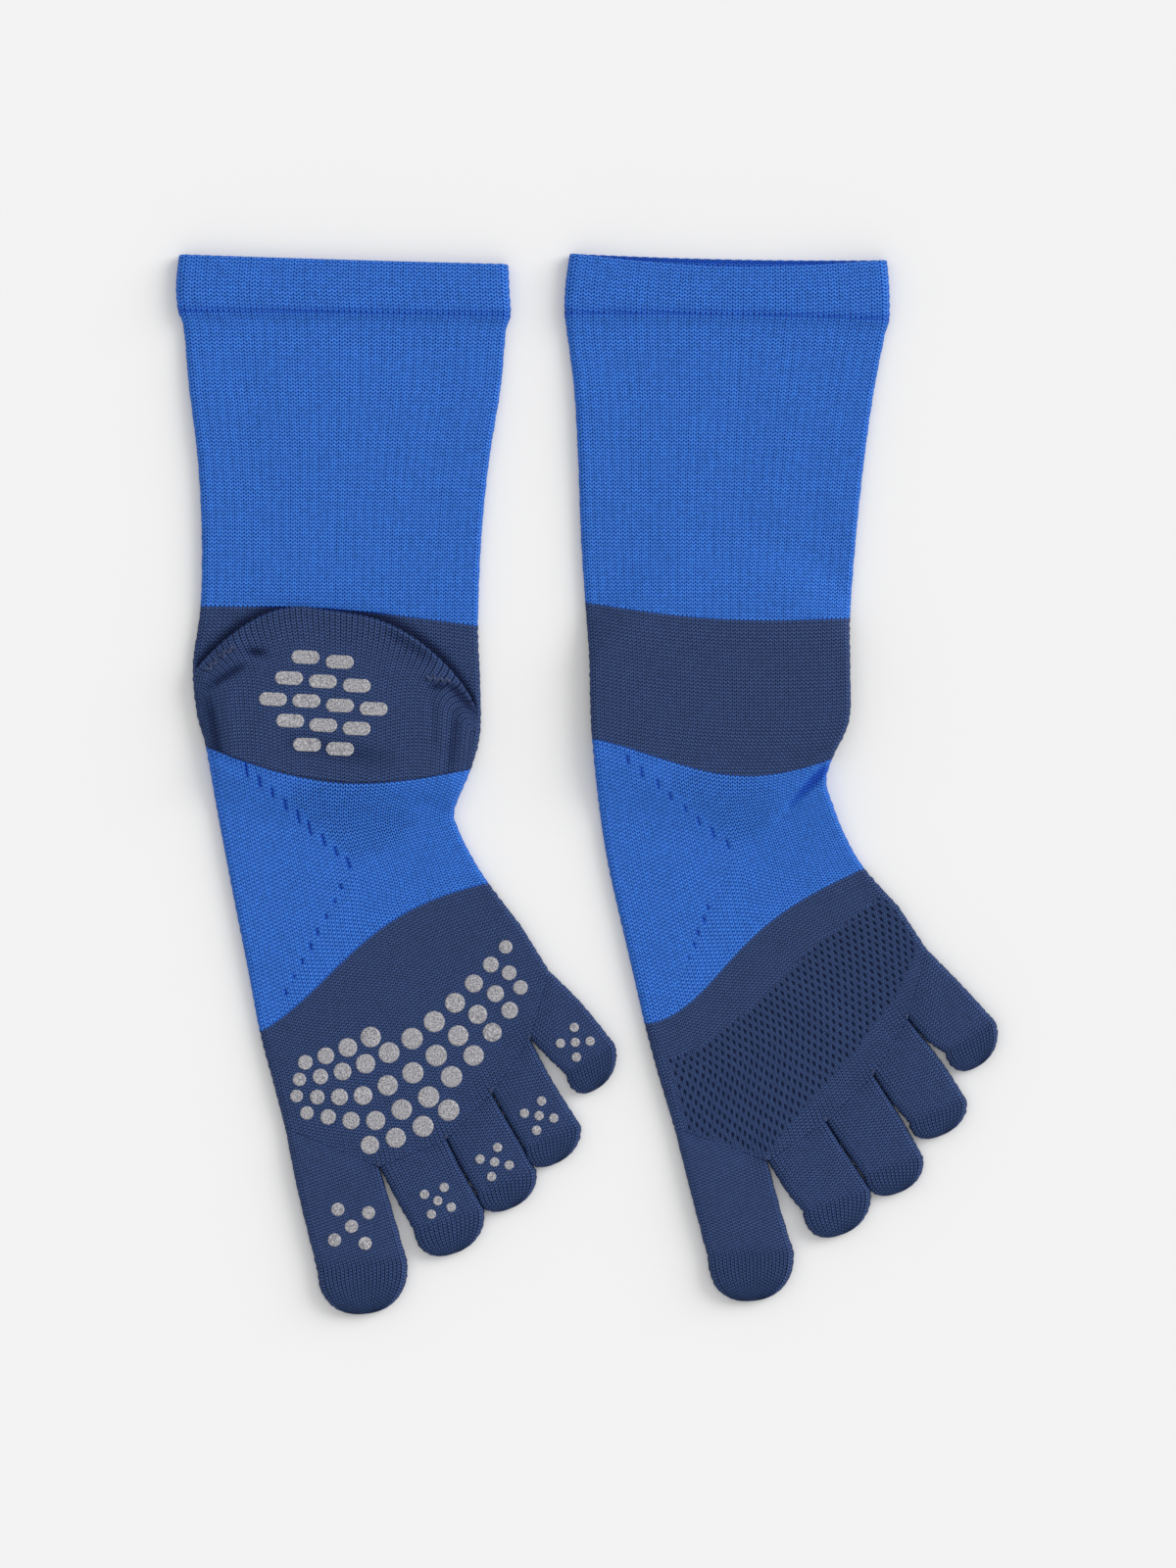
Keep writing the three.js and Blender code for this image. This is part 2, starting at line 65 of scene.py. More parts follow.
# Cloth
CLOTH = 1.3
AIR = 0.6
FLAT = 2 * CLOTH + AIR
SEAM = 0.3
TOE_GAP = 0.04  # between neighbouring toes, which press against each other
MEETING_GAP = 0.004  # between two stretches of knitting, whose yarns interlock on the real sock

# Folded heel pocket
POCKET = 2.7
POCKET_SIDE = 1.4
POCKET_TAPER = 11
POCKET_END = 0.06
POCKET_END_START = 0.35
POCKET_TURN_STEPS = 7
POCKET_BACK_STEP = 8  # rows of the fine face for each row of the back
UNDER_LIFT = 0.22  # of the hidden lower faces over the surface, room for the print beneath
DRAPE = 8
DRAPE_START = 4.5
LIFT_DRAPE = 20

# Fineness of the walls
COLUMNS_PER_WALE = 2
TURN_STEPS = 6
TURN_WALES = 3  # wales round each folded edge
INNER_STEP = 6.0
RIM_STEPS = 3
RIM_HEIGHT = 0.55
COURSE_STEP = 0.05
TOE_TIP_RINGS = 22
TOE_INNER_RINGS = 5
SWING_COURSE = 14  # the arch's last course, which swings to both sides of its chord
TIP_POWER = 2.3
INSIDE_SHADE = 0.4  # how much darker the inside of the rim looks

# Bumps of yarn along the folded edges: their wavelength, and the seeds of their draws
BUMP_WAVE = 2.0
TUBE_SEED = 3
TOE_SEED = 31

# Print over the ball of the foot: the largest round pad, the space between two in a row, and for
# each row its course with the shares of the breadth between which it runs
BALL_PAD = 6.2
BALL_PAD_SPACE = 1.7
BALL_ROWS = (
    (15.30, 0.06, 0.94),
    (15.02, 0.08, 0.92),
    (15.57, 0.08, 0.92),
    (14.76, 0.12, 0.80),
    (15.80, 0.12, 0.88),
)

# Print under the heel: for each row how far down the pocket it lies and its number of dashes, the
# share of the breadth where a row's middle and its steps lie, and a dash's length, width and turn
HEEL_ROWS = ((0.296, 2), (0.4236, 3), (0.5512, 4), (0.6788, 3), (0.8064, 2))
HEEL_PRINT_MIDDLE = 0.455
HEEL_DASH_STEP = 0.122
HEEL_DASH = (8.0, 3.9, -0.03)

# Print under a toe: the size of its round pads, and how far four lie from the one in the middle
BIG_TOE_PADS = (3.8, 4.4)
TOE_PADS = (2.7, 3.0)

# How a pad is laid: where its rays start and how long they are, where the search for the nearest
# cloth starts instead, all in metres, and how steep its sides are
RAY_START = 0.02
RAY_LENGTH = 0.05
NEAR_START = 0.006
PAD_STEEPNESS = 6
PAD_ATTRIBUTES = {"local": "FLOAT_VECTOR", "length": "FLOAT", "width": "FLOAT", "angle": "FLOAT"}

# Crossed strands on the heel pocket's gores: path, step from one to the next, width
GORE_STRANDS = (
    ([(-108.6, 32.5), (-105.0, 36.3), (-100.5, 39.3)], 1.05, 0.85),
    ([(-46.0, 30.4), (-39.0, 29.4)], 1.0, 0.75),
)
GORE_STRAND_HEIGHT = 0.42

# Knots between two toes: their place from the gap's point, length, width, turn and height
KNOT_PLACE = np.array([-0.3, 0.9])
KNOT = (1.3, 0.8, 0.9)
KNOT_HEIGHT = 0.2

# Floor, light and camera: one broad sun and an even sky. The photo's frame is 1600 pixels high,
# and one pixel is 0.28 mm on the floor.
FLOOR_REACH = 3.0
SUN_PLACE = (0.85, 0.42, 0.46)
SUN_SPREAD = 40  # degrees
SUN_POWER = 2.05
SKY_POWER = 0.75
FRAME_HEIGHT = 1600 * 0.28 * MM
CAMERA_HEIGHT = 2.4
SENSOR = 36

# Stitches: wales across one face of the tube, and the height of a course in each stretch
WALES = {"cuff": 58, "leg": 58, "ankle_band": 58, "arch": 50, "forefoot": 74}
COURSE_PITCH = {"cuff": 1.07, "leg": 1.04, "ankle_band": 1.02, "arch": 1.12, "forefoot": 0.95}
TOE_WALE_PITCH = 1.36
TOE_COURSE_PITCH = 0.92
HEEL_WALES = 60
HEEL_COURSE_PITCH = 0.98


def table(columns, rows):
    """Rows of numbers as records with named columns. Each keeps its own name in at."""
    row_type = namedtuple("Row", "at " + columns)
    return [row_type(at, *numbers) for at, numbers in rows.items()]


# One row for each course of knitting where the outline turns, from the rim to the forefoot:
# the folded edges, how far the upper and the lower face's course sag towards the toes between them,
# where the deepest point lies, the flat sock's thickness, and the air between its walls.
COURSE = "left_x left_y right_x right_y sag under lean thick air"
ROOT = "x y"
TOE = "mid_lx mid_ly mid_rx mid_ry end_lx end_ly end_rx end_ry tip_x tip_y thick"
HEEL = "left_x left_y right_x right_y arch rise fall"
CREASE = "x0 y0 x1 y1 breadth depth"
LADDER = "x0 y0 x1 y1 count length strength"

RIGHT_SOCK = SimpleNamespace(
    name="right_sock",
    heel_on_top=True,
    sole_side=1,
    swing=0.8,
    courses=table(COURSE, {
        "rim": [-116.8, 150.6, -22.7, 147.8, 0.2, 0.0, 1, 4.4, 1.5],
        "welt": [-117.6, 142.2, -22.4, 140.6, 0.0, 0.0, 1, 4.4, 1.1],
        "welt_foot": [-117.0, 135.0, -22.1, 133.8, -0.3, 0.0, 1, 4.1, 0.7],
        "under_welt": [-115.4, 129.9, -23.5, 128.8, -0.4, 0.0, 1, 3.1, 0.6],
        "upper_leg": [-114.0, 114.2, -24.9, 113.4, -0.5, 0.0, 1, 3.3, 0.6],
        "mid_leg": [-111.4, 92.4, -28.3, 91.8, -0.8, 0.0, 1, 3.3, 0.6],
        "lower_leg": [-110.3, 71.4, -30.5, 69.4, -1.2, 0.0, 1, 3.2, 0.6],
        "band_top": [-110.6, 51.0, -31.4, 45.4, -1.7, 0.0, 1, 3.2, 0.6],
        "band_upper": [-112.8, 34.2, -30.8, 29.4, 0.0, 0.0, 1, 3.2, 0.6],
        "band_lower": [-111.7, 20.2, -30.8, 14.6, 3.0, 2.0, 1, 3.2, 0.6],
        "band_foot": [-109.2, 10.9, -33.4, 4.4, 7.0, 6.0, 1, 3.2, 0.6],
        "arch_top": [-106.1, -6.2, -38.1, -7.3, 4.0, 4.0, 1, 3.2, 0.6],
        "arch_middle": [-102.2, -27.2, -37.0, -12.9, 2.0, 2.0, 1, 3.2, 0.6],
        "arch_lower": [-98.0, -48.2, -33.6, -19.9, -1.5, -1.5, 1.2, 3.2, 0.6],
        "fore_top": [-93.8, -70.3, -28.6, -28.0, -5.0, -5.0, 1.45, 3.2, 0.6],
        "fore_middle": [-90.2, -84.0, -19.0, -40.6, 10.7, 10.7, 0.85, 3.4, 0.6],
    }),
    roots=table(ROOT, {
        "outer": [-86.5, -98.0],
        "first_gap": [-59.6, -109.2],
        "second_gap": [-40.3, -101.4],
        "third_gap": [-27.4, -88.2],
        "fourth_gap": [-16.5, -72.8],
        "inner": [-11.2, -53.2],
    }),
    toes=table(TOE, {
        "toe_1": [-82.9, -116.2, -55.7, -122.1, -77.3, -138.9, -51.5, -136.6, -63.8, -151.3, 3.8],
        "toe_2": [-54.6, -119.0, -35.1, -111.7, -49.8, -127.4, -29.7, -121.0, -38.4, -134.1, 3.6],
        "toe_3": [-35.9, -109.9, -21.7, -98.3, -31.7, -117.2, -14.8, -110.3, -22.1, -121.2, 3.5],
        "toe_4": [-22.7, -96.4, -10.1, -84.7, -18.0, -104.4, -2.0, -97.7, -9.5, -108.5, 3.5],
        "toe_5": [-11.2, -78.4, -1.7, -62.7, -6.4, -82.9, 7.8, -74.5, 2.5, -87.1, 3.5],
    }),
    heel=table(HEEL, {
        "pocket": [-113.0, 30.8, -31.2, 17.9, 25.0, 0.42, 0.42],
    })[0],
    creases=table(CREASE, {
        "left_gore": [-112, 30, -99, 41, 1.6, 0.35],
        "right_gore": [-45, 32, -31, 20, 1.8, 0.35],
        "notch": [-39, -8, -58, -3, 2.6, 0.45],
        "ball": [-60, -62, -34, -78, 5.0, -0.35],
        "outer_ball": [-88, -86, -66, -90, 4.0, -0.3],
        "calf": [-100, 118, -92, 70, 6.0, 0.25],
        "calf_right": [-42, 112, -48, 66, 7.0, 0.25],
        "under_gore_left": [-108, 8, -96, 4, 1.6, 0.4],
    }),
    heel_creases=table(CREASE, {
        "left_gore_ridge": [-111, 30.5, -100.5, 39.5, 1.1, -0.5],
        "left_gore_fold": [-108, 27.5, -97, 35.0, 1.3, 0.5],
        "left_pit": [-96.8, 37.8, -92.4, 37.2, 1.1, 0.62],
        "left_pit_ridge": [-101, 35.5, -94.0, 34.2, 1.6, -0.35],
        "left_swell": [-104, 26, -101, 8, 3.0, -0.45],
        "side_fold_left": [-108, 24, -105, 7, 1.8, 0.5],
        "right_gore_ridge": [-46.5, 30.2, -39.5, 29.6, 1.1, -0.4],
        "right_gore_fold": [-40, 29.0, -32.5, 20.5, 1.3, 0.5],
        "right_pit": [-44.8, 27.6, -40.6, 27.9, 1.0, 0.45],
        "right_rib": [-41.5, 24, -41.0, 6, 1.3, -0.13],
        "right_groove": [-44.0, 25, -43.8, 10, 1.3, 0.13],
        "right_second_rib": [-46.4, 26, -46.6, 12, 1.4, -0.13],
        "side_fold_right": [-37.5, 20, -39.5, 4, 1.5, 0.34],
        "upper_right_fold": [-57, 43.5, -45, 35.5, 1.6, 0.3],
        "under_print": [-84, 12, -58, 7, 3.0, 0.25],
    }),
    ladders=table(LADDER, {
        "heel_gore": [-99.4, 5.9, -66.4, -24.1, 9, 2.0, 0.8],
        "arch_gore": [-69.2, -27.2, -87.1, -61.3, 8, 1.1, 0.8],
    }),
    apex=(-66.4, -24.1),
    gore_foot=(-90.0, -66.0),
    openwork=(-70.0, -10.0, 22.0, 13.0),
)

LEFT_SOCK = SimpleNamespace(
    name="left_sock",
    heel_on_top=False,
    sole_side=0,
    swing=3.0,
    courses=table(COURSE, {
        "rim": [-5.3, 150.9, 85.4, 149.0, 2.8, 0.7, 1, 4.6, 1.7],
        "welt": [-6.4, 142.8, 86.0, 141.4, 0.8, 0.3, 1, 4.4, 1.1],
        "welt_foot": [-6.7, 134.4, 86.0, 132.7, -0.6, 0.0, 1, 4.1, 0.7],
        "under_welt": [-5.9, 128.2, 84.6, 127.4, -0.6, 0.0, 1, 3.1, 0.6],
        "upper_leg": [-3.9, 112.0, 81.5, 111.4, 0.0, 0.0, 1, 3.3, 0.6],
        "mid_leg": [-2.8, 92.4, 78.7, 91.3, 0.4, 0.0, 1, 3.3, 0.6],
        "lower_leg": [-2.0, 70.6, 76.4, 69.2, 1.4, 0.5, 1, 3.2, 0.6],
        "band_top": [-0.8, 52.1, 74.8, 47.6, 2.5, 1.0, 1, 3.2, 0.6],
        "band_upper": [0.3, 36.4, 74.8, 33.0, 4.0, 2.0, 1.1, 3.2, 0.6],
        "band_lower": [0.6, 23.8, 74.5, 18.2, 6.0, 3.0, 1.2, 3.2, 0.6],
        "band_foot": [1.1, 13.2, 69.7, 7.3, 7.0, 4.0, 1.35, 3.2, 0.6],
        "arch_top": [2.8, -3.4, 68.0, 0.6, 5.5, 4.0, 1.3, 3.2, 0.6],
        "arch_middle": [5.6, -22.4, 70.0, -6.2, 3.0, 2.0, 1.2, 3.2, 0.6],
        "arch_lower": [10.4, -43.4, 73.4, -14.6, 0.5, 0.5, 1.1, 3.2, 0.6],
        "fore_top": [16.0, -67.8, 78.7, -23.8, 0.0, 0.0, 1.2, 3.2, 0.6],
        "fore_middle": [20.0, -82.9, 88.7, -35.0, 11.0, 11.0, 0.75, 3.4, 0.6],
    }),
    roots=table(ROOT, {
        "outer": [24.6, -98.0],
        "first_gap": [51.2, -107.5],
        "second_gap": [68.0, -96.3],
        "third_gap": [81.5, -82.9],
        "fourth_gap": [91.3, -66.9],
        "inner": [96.6, -47.0],
    }),
    toes=table(TOE, {
        "toe_1": [29.0, -115.5, 54.9, -121.1, 34.3, -135.8, 58.8, -133.7, 46.9, -147.6, 3.8],
        "toe_2": [56.7, -116.5, 74.1, -105.8, 61.3, -122.1, 80.7, -115.6, 72.1, -128.8, 3.6],
        "toe_3": [73.3, -104.3, 88.6, -94.1, 78.9, -112.5, 95.6, -106.4, 88.5, -116.8, 3.5],
        "toe_4": [86.4, -90.4, 100.9, -79.1, 91.7, -96.8, 108.1, -90.3, 100.8, -100.4, 3.5],
        "toe_5": [96.9, -73.4, 106.8, -57.4, 101.8, -76.7, 116.5, -68.0, 111.4, -80.6, 3.5],
    }),
    heel=table(HEEL, {
        "pocket": [1.4, 28.0, 75.0, 28.0, 21.5, 0.42, 0.42],
    })[0],
    creases=table(CREASE, {
        "notch": [70, 7, 55, -9, 2.1, 1.15],
        "band_fold": [73, 14, 60, 2, 2.6, -0.45],
        "notch_ridge": [62, -2, 50, -12, 2.4, -0.4],
        "ball": [50, -60, 80, -72, 5.0, -0.3],
        "calf": [12, 116, 18, 66, 7.0, 0.25],
        "calf_right": [66, 112, 62, 64, 6.0, 0.25],
    }),
    heel_creases=table(CREASE, {
        "left_gore": [2, 28, 14, 38, 1.4, 0.3],
        "right_gore": [62, 38, 74, 28, 1.4, 0.3],
    }),
    ladders=table(LADDER, {
        "heel_gore": [9.5, 8.7, 42.0, -19.0, 8, 1.5, 0.65],
        "arch_gore": [35.0, -33.6, 28.0, -51.5, 5, 1.0, 0.7],
    }),
    apex=(42.0, -19.0),
    gore_foot=(23.0, -61.0),
    openwork=(36.0, -6.0, 20.0, 12.0),
)

SOCKS = (RIGHT_SOCK, LEFT_SOCK)
for each_sock in SOCKS:
    each_sock.course_values = np.array([row[1:] for row in each_sock.courses], float)
    each_sock.root_points = np.array([row[1:] for row in each_sock.roots], float)

# Stretches of the tube: first course, last course, yarn
STRETCHES = {
    "cuff": ("rim", "welt_foot", "blue"),
    "leg": ("welt_foot", "band_top", "blue"),
    "ankle_band": ("band_top", "band_foot", "navy"),
    "arch": ("band_foot", "fore_top", "blue"),
    "forefoot": ("fore_top", "toe_roots", "navy"),
}

# How strongly every second wale stands out as a rib
RIBBED = {"cuff": 0.7, "leg": 1.0}

# Stretches whose first stitches still hang in the yarn of the stretch before
CHANGED_YARN = ("ankle_band", "arch", "forefoot")

# What the material reads from each point of the cloth: painted shade in pits, creases and folds,
# larger holes between stitches, drawn-in wales, a change of yarn at the first row, a rib every
# second wale, and the airy mesh
MARKS = ("hollow", "openwork", "gather", "changed", "ribbed", "airy")

# Airy mesh on the instep: for a share across the foot, the courses between which it lies
MESH_ACROSS = [0.0, 0.25, 0.45, 0.7, 1.0]
MESH_START = [14.62, 14.52, 14.5, 14.46, 14.55]
MESH_END = [15.98, 15.96, 15.72, 15.68, 15.8]
MESH_FADE = 0.05
MESH_ROW = 2.1  # courses from one row of slits to the next, which is shifted by one wale

# Stitches in the material, where 1 is the height of a strand's crown and a stitch is one wale wide
# and one course high. Pairs go from start to end, or are a slope and a constant.
STRAND_BASE = 0.4
STRAND_HEIGHT = 0.36
ARM_SWELL = 0.22
SLANT = -1.25
AIRY_SLANT = -1.6
PIT_DEPTH = -0.42
OPENWORK_DEPTH = -2.3
GROOVE_DEPTH = -0.24
GATHER_DEPTH = -0.5
# Painted shade: how far a shaded place drops towards the dark colour of the gaps
PAINTED_SHADE_DEPTH = -0.85
RIB_STIPPLE = (0.5, 1.2)
RIB_GROOVE = (-0.55, 0.9)
VALLEY_STIPPLE = 0.8
VALLEY_DEPTH = -0.02
SLIT_DEPTH = -0.98
SLIT_LENGTH = (0.28, 1.0)
SLIT_WIDTH = (0.08, 0.42)

# Yarns: material, and the colours of the gaps, darkened as painted shade, of the strands' sides,
# which are the yarn's own colour, and of their crowns, lightened as a painted highlight
YARNS = {
    "blue": ("filament_nylon_bright_blue", "#022e98", "#1650b9", "#4484d9"),
    "navy": ("filament_nylon_dark_navy", "#091433", "#182a54", "#405684"),
}


def ease(t):
    """Smooth step from 0 to 1."""
    t = np.clip(t, 0, 1)
    return t * t * (3 - 2 * t)


def lerp(a, b, t):
    return a + (b - a) * t


def ripple(x, y, wavelength, seed):
    """Soft seeded undulation between about -1 and 1."""
    draw = np.random.default_rng(seed)
    total = 0
    for _ in range(5):
        angle, phase, scale = draw.uniform(0, 1, 3) * (math.tau, math.tau, 0.6)
        wave = math.tau / (wavelength * (0.7 + scale))
        total = total + np.sin(wave * (x * math.cos(angle) + y * math.sin(angle)) + phase)
    return total / 2.6


def spline(values, s):
    """Smooth curve through the rows of a table, at place s."""
    last = len(values) - 1
    i = min(max(int(math.floor(s)), 0), last - 1)
    f = s - i
    a, b, c, d = (values[min(max(k, 0), last)] for k in (i - 1, i, i + 1, i + 2))
    return b + 0.5 * f * (c - a + f * (2 * a - 5 * b + 4 * c - d + f * (3 * (b - c) + d - a)))


def course_number(sock, at):
    """Place of a named course in the table. The toe roots lie one past the last row."""
    names = [row.at for row in sock.courses] + ["toe_roots"]
    return names.index(at)


def root_point(sock, u):
    """Points on the zigzag line where the toe pockets start."""
    steps = np.linalg.norm(np.diff(sock.root_points, axis=0), axis=1)
    shares = np.concatenate([[0], np.cumsum(steps)]) / steps.sum()
    x = np.interp(u, shares, sock.root_points[:, 0])
    y = np.interp(u, shares, sock.root_points[:, 1])
    return np.stack([x, y], -1)


def course_point(sock, s, u, side):
    """Points at shares u along course s. side is 1 on the upper face and 0 on the lower one."""
    last = len(sock.courses) - 1
    if s > last:
        start = course_point(sock, last, u, side)
        return lerp(start, root_point(sock, u), s - last)
    left_x, left_y, right_x, right_y, sag, under, lean = spline(sock.course_values, s)[:7]
    left = np.array([left_x, left_y])
    chord = np.array([right_x - left_x, right_y - left_y])
    towards_toes = np.array([chord[1], -chord[0]]) / np.linalg.norm(chord)
    share = np.clip(u, 0, 1)
    depth = lerp(under, sag, side) * np.sin(math.pi * share**lean)
    swing = sock.swing * math.exp(-(((s - SWING_COURSE) / 0.8) ** 2))
    depth = depth + swing * np.sin(math.tau * share**0.7)
    return left + u[:, None] * chord + depth[:, None] * towards_toes


def heel_fold(heel, u):
    """The folded pocket's fold line at share u of its breadth."""
    climb = np.sin(math.pi / 2 * np.clip(u / heel.rise, 0, 1)) ** 0.85
    fall = np.sin(math.pi / 2 * np.clip((1 - u) / heel.fall, 0, 1)) ** 0.6
    arch = heel.arch * climb * fall
    x = lerp(heel.left_x, heel.right_x, u)
    return np.stack([x, lerp(heel.left_y, heel.right_y, u) + arch], -1)


def heel_foot(sock, u):
    """The line where the pocket runs on into the arch, the first course of the arch's own face."""
    course = course_number(sock, "band_foot")
    line = course_point(sock, course, np.atleast_1d(u), float(sock.heel_on_top))
    return line.reshape(*np.shape(u), 2)


def pocket_thickness(heel, u):
    from_side = np.minimum(u, 1 - u) * abs(heel.right_x - heel.left_x)
    return lerp(POCKET_SIDE, POCKET, ease(from_side / POCKET_TAPER))


def heel_share(heel, x):
    """Share of the heel pocket's breadth at a place across it."""
    return np.clip((x - heel.left_x) / (heel.right_x - heel.left_x), 0, 1)


def lift_over(sock, x, y):
    """How far the whole sock is lifted off the floor by a pocket beneath it."""
    if sock.heel_on_top:
        return np.zeros_like(x)
    u = heel_share(sock.heel, x)
    above = heel_fold(sock.heel, u)[..., 1] + DRAPE_START + LIFT_DRAPE - y
    below = y - heel_foot(sock, u)[..., 1] + DRAPE_START + LIFT_DRAPE
    return (POCKET + SEAM) * ease(above / LIFT_DRAPE) * ease(below / LIFT_DRAPE)


def meet_pocket(sock, piece, x, y, side):
    """How far the arch's wall on the pocket's side climbs or stays down to meet it."""
    if piece != "arch":
        return np.zeros_like(x)
    u = heel_share(sock.heel, x)
    from_side = np.minimum(u, 1 - u) * abs(sock.heel.right_x - sock.heel.left_x)
    inside = ease(from_side / DRAPE)
    if not sock.heel_on_top:
        return -lift_over(sock, x, y) * inside * (1 - side)
    level = SEAM + pocket_thickness(sock.heel, u)
    return level * ease((y - heel_foot(sock, u)[..., 1] + 2 * DRAPE) / (2 * DRAPE)) * inside * side


def crease_depth(creases, x, y):
    """Depth of the creases, as soft troughs that fade at their ends. A ridge is negative."""
    depth = np.zeros_like(x)
    for fold in creases:
        along_x, along_y = fold.x1 - fold.x0, fold.y1 - fold.y0
        square = along_x**2 + along_y**2
        t = np.clip(((x - fold.x0) * along_x + (y - fold.y0) * along_y) / square, 0, 1)
        off = np.hypot(x - fold.x0 - t * along_x, y - fold.y0 - t * along_y)
        fade = 0.5 * ease(4 * t) + 0.5 * ease(4 * (1 - t))
        depth += fold.depth * fade * np.exp(-((off / fold.breadth) ** 2))
    return depth


def flat_section(wales, breadth, half, inset):
    """Outline of a flat tube: places across it, heights from its mid-plane, and wales counted.

    It runs over the upper face from left to right, round the right fold, back under and round."""
    turn = inset + half
    columns = wales * COLUMNS_PER_WALE
    across = turn + np.linspace(0, 1, columns + 1) * (breadth - 2 * turn)
    angles = math.pi * np.arange(1, TURN_STEPS) / TURN_STEPS
    sine, cosine = half * np.sin(angles), half * np.cos(angles)
    places = [across, breadth - turn + sine, across[::-1], turn - sine]
    heights = [np.full_like(across, half), cosine, np.full_like(across, -half), -cosine]
    flat_count = np.linspace(0, wales, columns + 1)
    turn_count = TURN_WALES * np.arange(1, TURN_STEPS) / TURN_STEPS
    counts = [flat_count, wales + turn_count, flat_count + wales + TURN_WALES]
    counts.append(2 * wales + TURN_WALES + turn_count)
    return [np.concatenate(part) for part in (places, heights, counts)]


def tube_ring(sock, piece, s, push, inner):
    """One ring of a sock's tube at course s, moved push towards the toes. inner is 1 inside it."""
    row = spline(sock.course_values, min(s, len(sock.courses) - 1))
    thick, air = row[7:]
    cloth = (thick - air) / 2 * inner
    half = thick / 2 - cloth
    ends = course_point(sock, s, np.array([0.0, 1.0]), np.ones(2))
    breadth = np.linalg.norm(ends[1] - ends[0])
    across, height, count = flat_section(WALES[piece], breadth, half, cloth)
    u, side = across / breadth, (height / half + 1) / 2
    before = course_point(sock, max(s - COURSE_STEP, 0), u, side)
    after = course_point(sock, min(s + COURSE_STEP, len(sock.courses)), u, side)
    way = after - before
    way /= np.linalg.norm(way, axis=1)[:, None]
    plan = course_point(sock, s, u, side) + way * push
    x, y = plan[:, 0], plan[:, 1]
    z = thick / 2 + height + meet_pocket(sock, piece, x, y, side) + lift_over(sock, x, y)
    return SimpleNamespace(points=np.stack([x, y, z], -1), u=u, side=side, count=count, s=s)


def tube_rings(sock, piece, s0, s1, facet):
    """Rings of a stretch's outer face, and of its inner face from the far end back, with fewer."""
    ends = [course_point(sock, s, np.array([0.0, 0.5, 1.0]), np.ones(3)) for s in (s0, s1)]
    steps = int(np.linalg.norm(ends[1] - ends[0], axis=1).max() / facet) + 1
    outer = []
    for i in range(steps + 1):
        push = MEETING_GAP / 2 * ((i == 0 and s0 > 0) - (i == steps))
        outer.append(tube_ring(sock, piece, lerp(s0, s1, i / steps), push, 0))
    inner_steps = max(int(steps * facet / INNER_STEP), 2)
    inner = [tube_ring(sock, piece, lerp(s1, s0, i / inner_steps), 0.0, 1)
             for i in range(inner_steps + 1)]
    return outer, inner


def stack(rings, key):
    return np.array([getattr(ring, key) for ring in rings])


def count_wales(rings, wales_round):
    """Wales counted round each ring, with the whole count where the ring closes."""
    return np.concatenate([stack(rings, "count"), np.full((len(rings), 1), wales_round)], axis=1)


def run_along(points):
    """Length from the first ring along each column."""
    steps = np.linalg.norm(np.diff(points, axis=0), axis=2)
    return np.concatenate([np.zeros((1, points.shape[1])), np.cumsum(steps, axis=0)])


def closed_column(values):
    """Repeats the first column after the last, where a tube closes."""
    return np.concatenate([values, values[:, :1]], axis=1)


def blank_marks(shape):
    return {key: np.zeros(shape) for key in MARKS}


def behind(rings, marks):
    """Marks of a whole wall: none on the rings inside it, then those of its outer face."""
    return {key: np.concatenate([np.zeros((rings, values.shape[1])), values])
            for key, values in marks.items()}


def outer_face(rings, wales_round, pitch):
    """A wall's outer face as grids of places, sides, lengths, counted stitches and marks."""
    points = stack(rings, "points")
    run = run_along(points)
    return SimpleNamespace(
        points=points,
        x=points[..., 0].copy(),
        y=points[..., 1].copy(),
        side=stack(rings, "side"),
        u=stack(rings, "u"),
        run=run,
        wale=count_wales(rings, wales_round),
        course=closed_column(run / pitch),
        pits=np.zeros(run.shape),
        marks=blank_marks(run.shape),
    )


def inner_face(rings, wales_round, pitch):
    """The places and stitch counts of a wall's inner face, whose rings run back to its start."""
    points = stack(rings, "points")
    run = run_along(points)
    course = closed_column((run[-1] - run) / pitch)
    return points, np.stack([count_wales(rings, wales_round), course], -1)


def both_faces(side):
    """How fully each point lies on the upper face, and on the lower one."""
    return np.clip(2 * side - 1, 0, 1), np.clip(1 - 2 * side, 0, 1)


def outward_of(points):
    """Level directions from the middle of each ring outwards."""
    outward = points - points.mean(axis=1, keepdims=True)
    outward[..., 2] = 0
    return outward / np.maximum(np.linalg.norm(outward, axis=2), 0.001)[..., None]


def wave_edges(points, side, seed, depth):
    """Small bumps of yarn along the folded edges, which break up the silhouette."""
    left = points[..., 0] < points[..., 0].mean(axis=1, keepdims=True)
    other_edge = np.where(left, 40.0, 90.0)
    bumps = ripple(run_along(points), other_edge, BUMP_WAVE, seed) * depth
    fold = 1 - np.abs(2 * side - 1)
    return points + outward_of(points) * (bumps * fold)[..., None]


def slit_pits(wale, course, inside):
    """Soft pits of the airy mesh: on every second wale of a row, shifted by one in the next row."""
    row = np.round(course / MESH_ROW)
    near_row = np.abs(course - row * MESH_ROW)
    across = (wale + row % 2) / 2
    near_wale = np.abs(across - np.round(across)) * 2
    return inside * np.exp(-((near_row / 0.8) ** 2) - (near_wale / 0.45) ** 2)


def mesh_zone(s, u):
    """1 inside the airy mesh of the instep and 0 outside it."""
    start = np.interp(u, MESH_ACROSS, MESH_START)
    end = np.interp(u, MESH_ACROSS, MESH_END)
    along = ease((s - start) / MESH_FADE) * ease((end - s) / MESH_FADE)
    return along * ease((u - 0.03) / 0.02) * ease((0.99 - u) / 0.02)


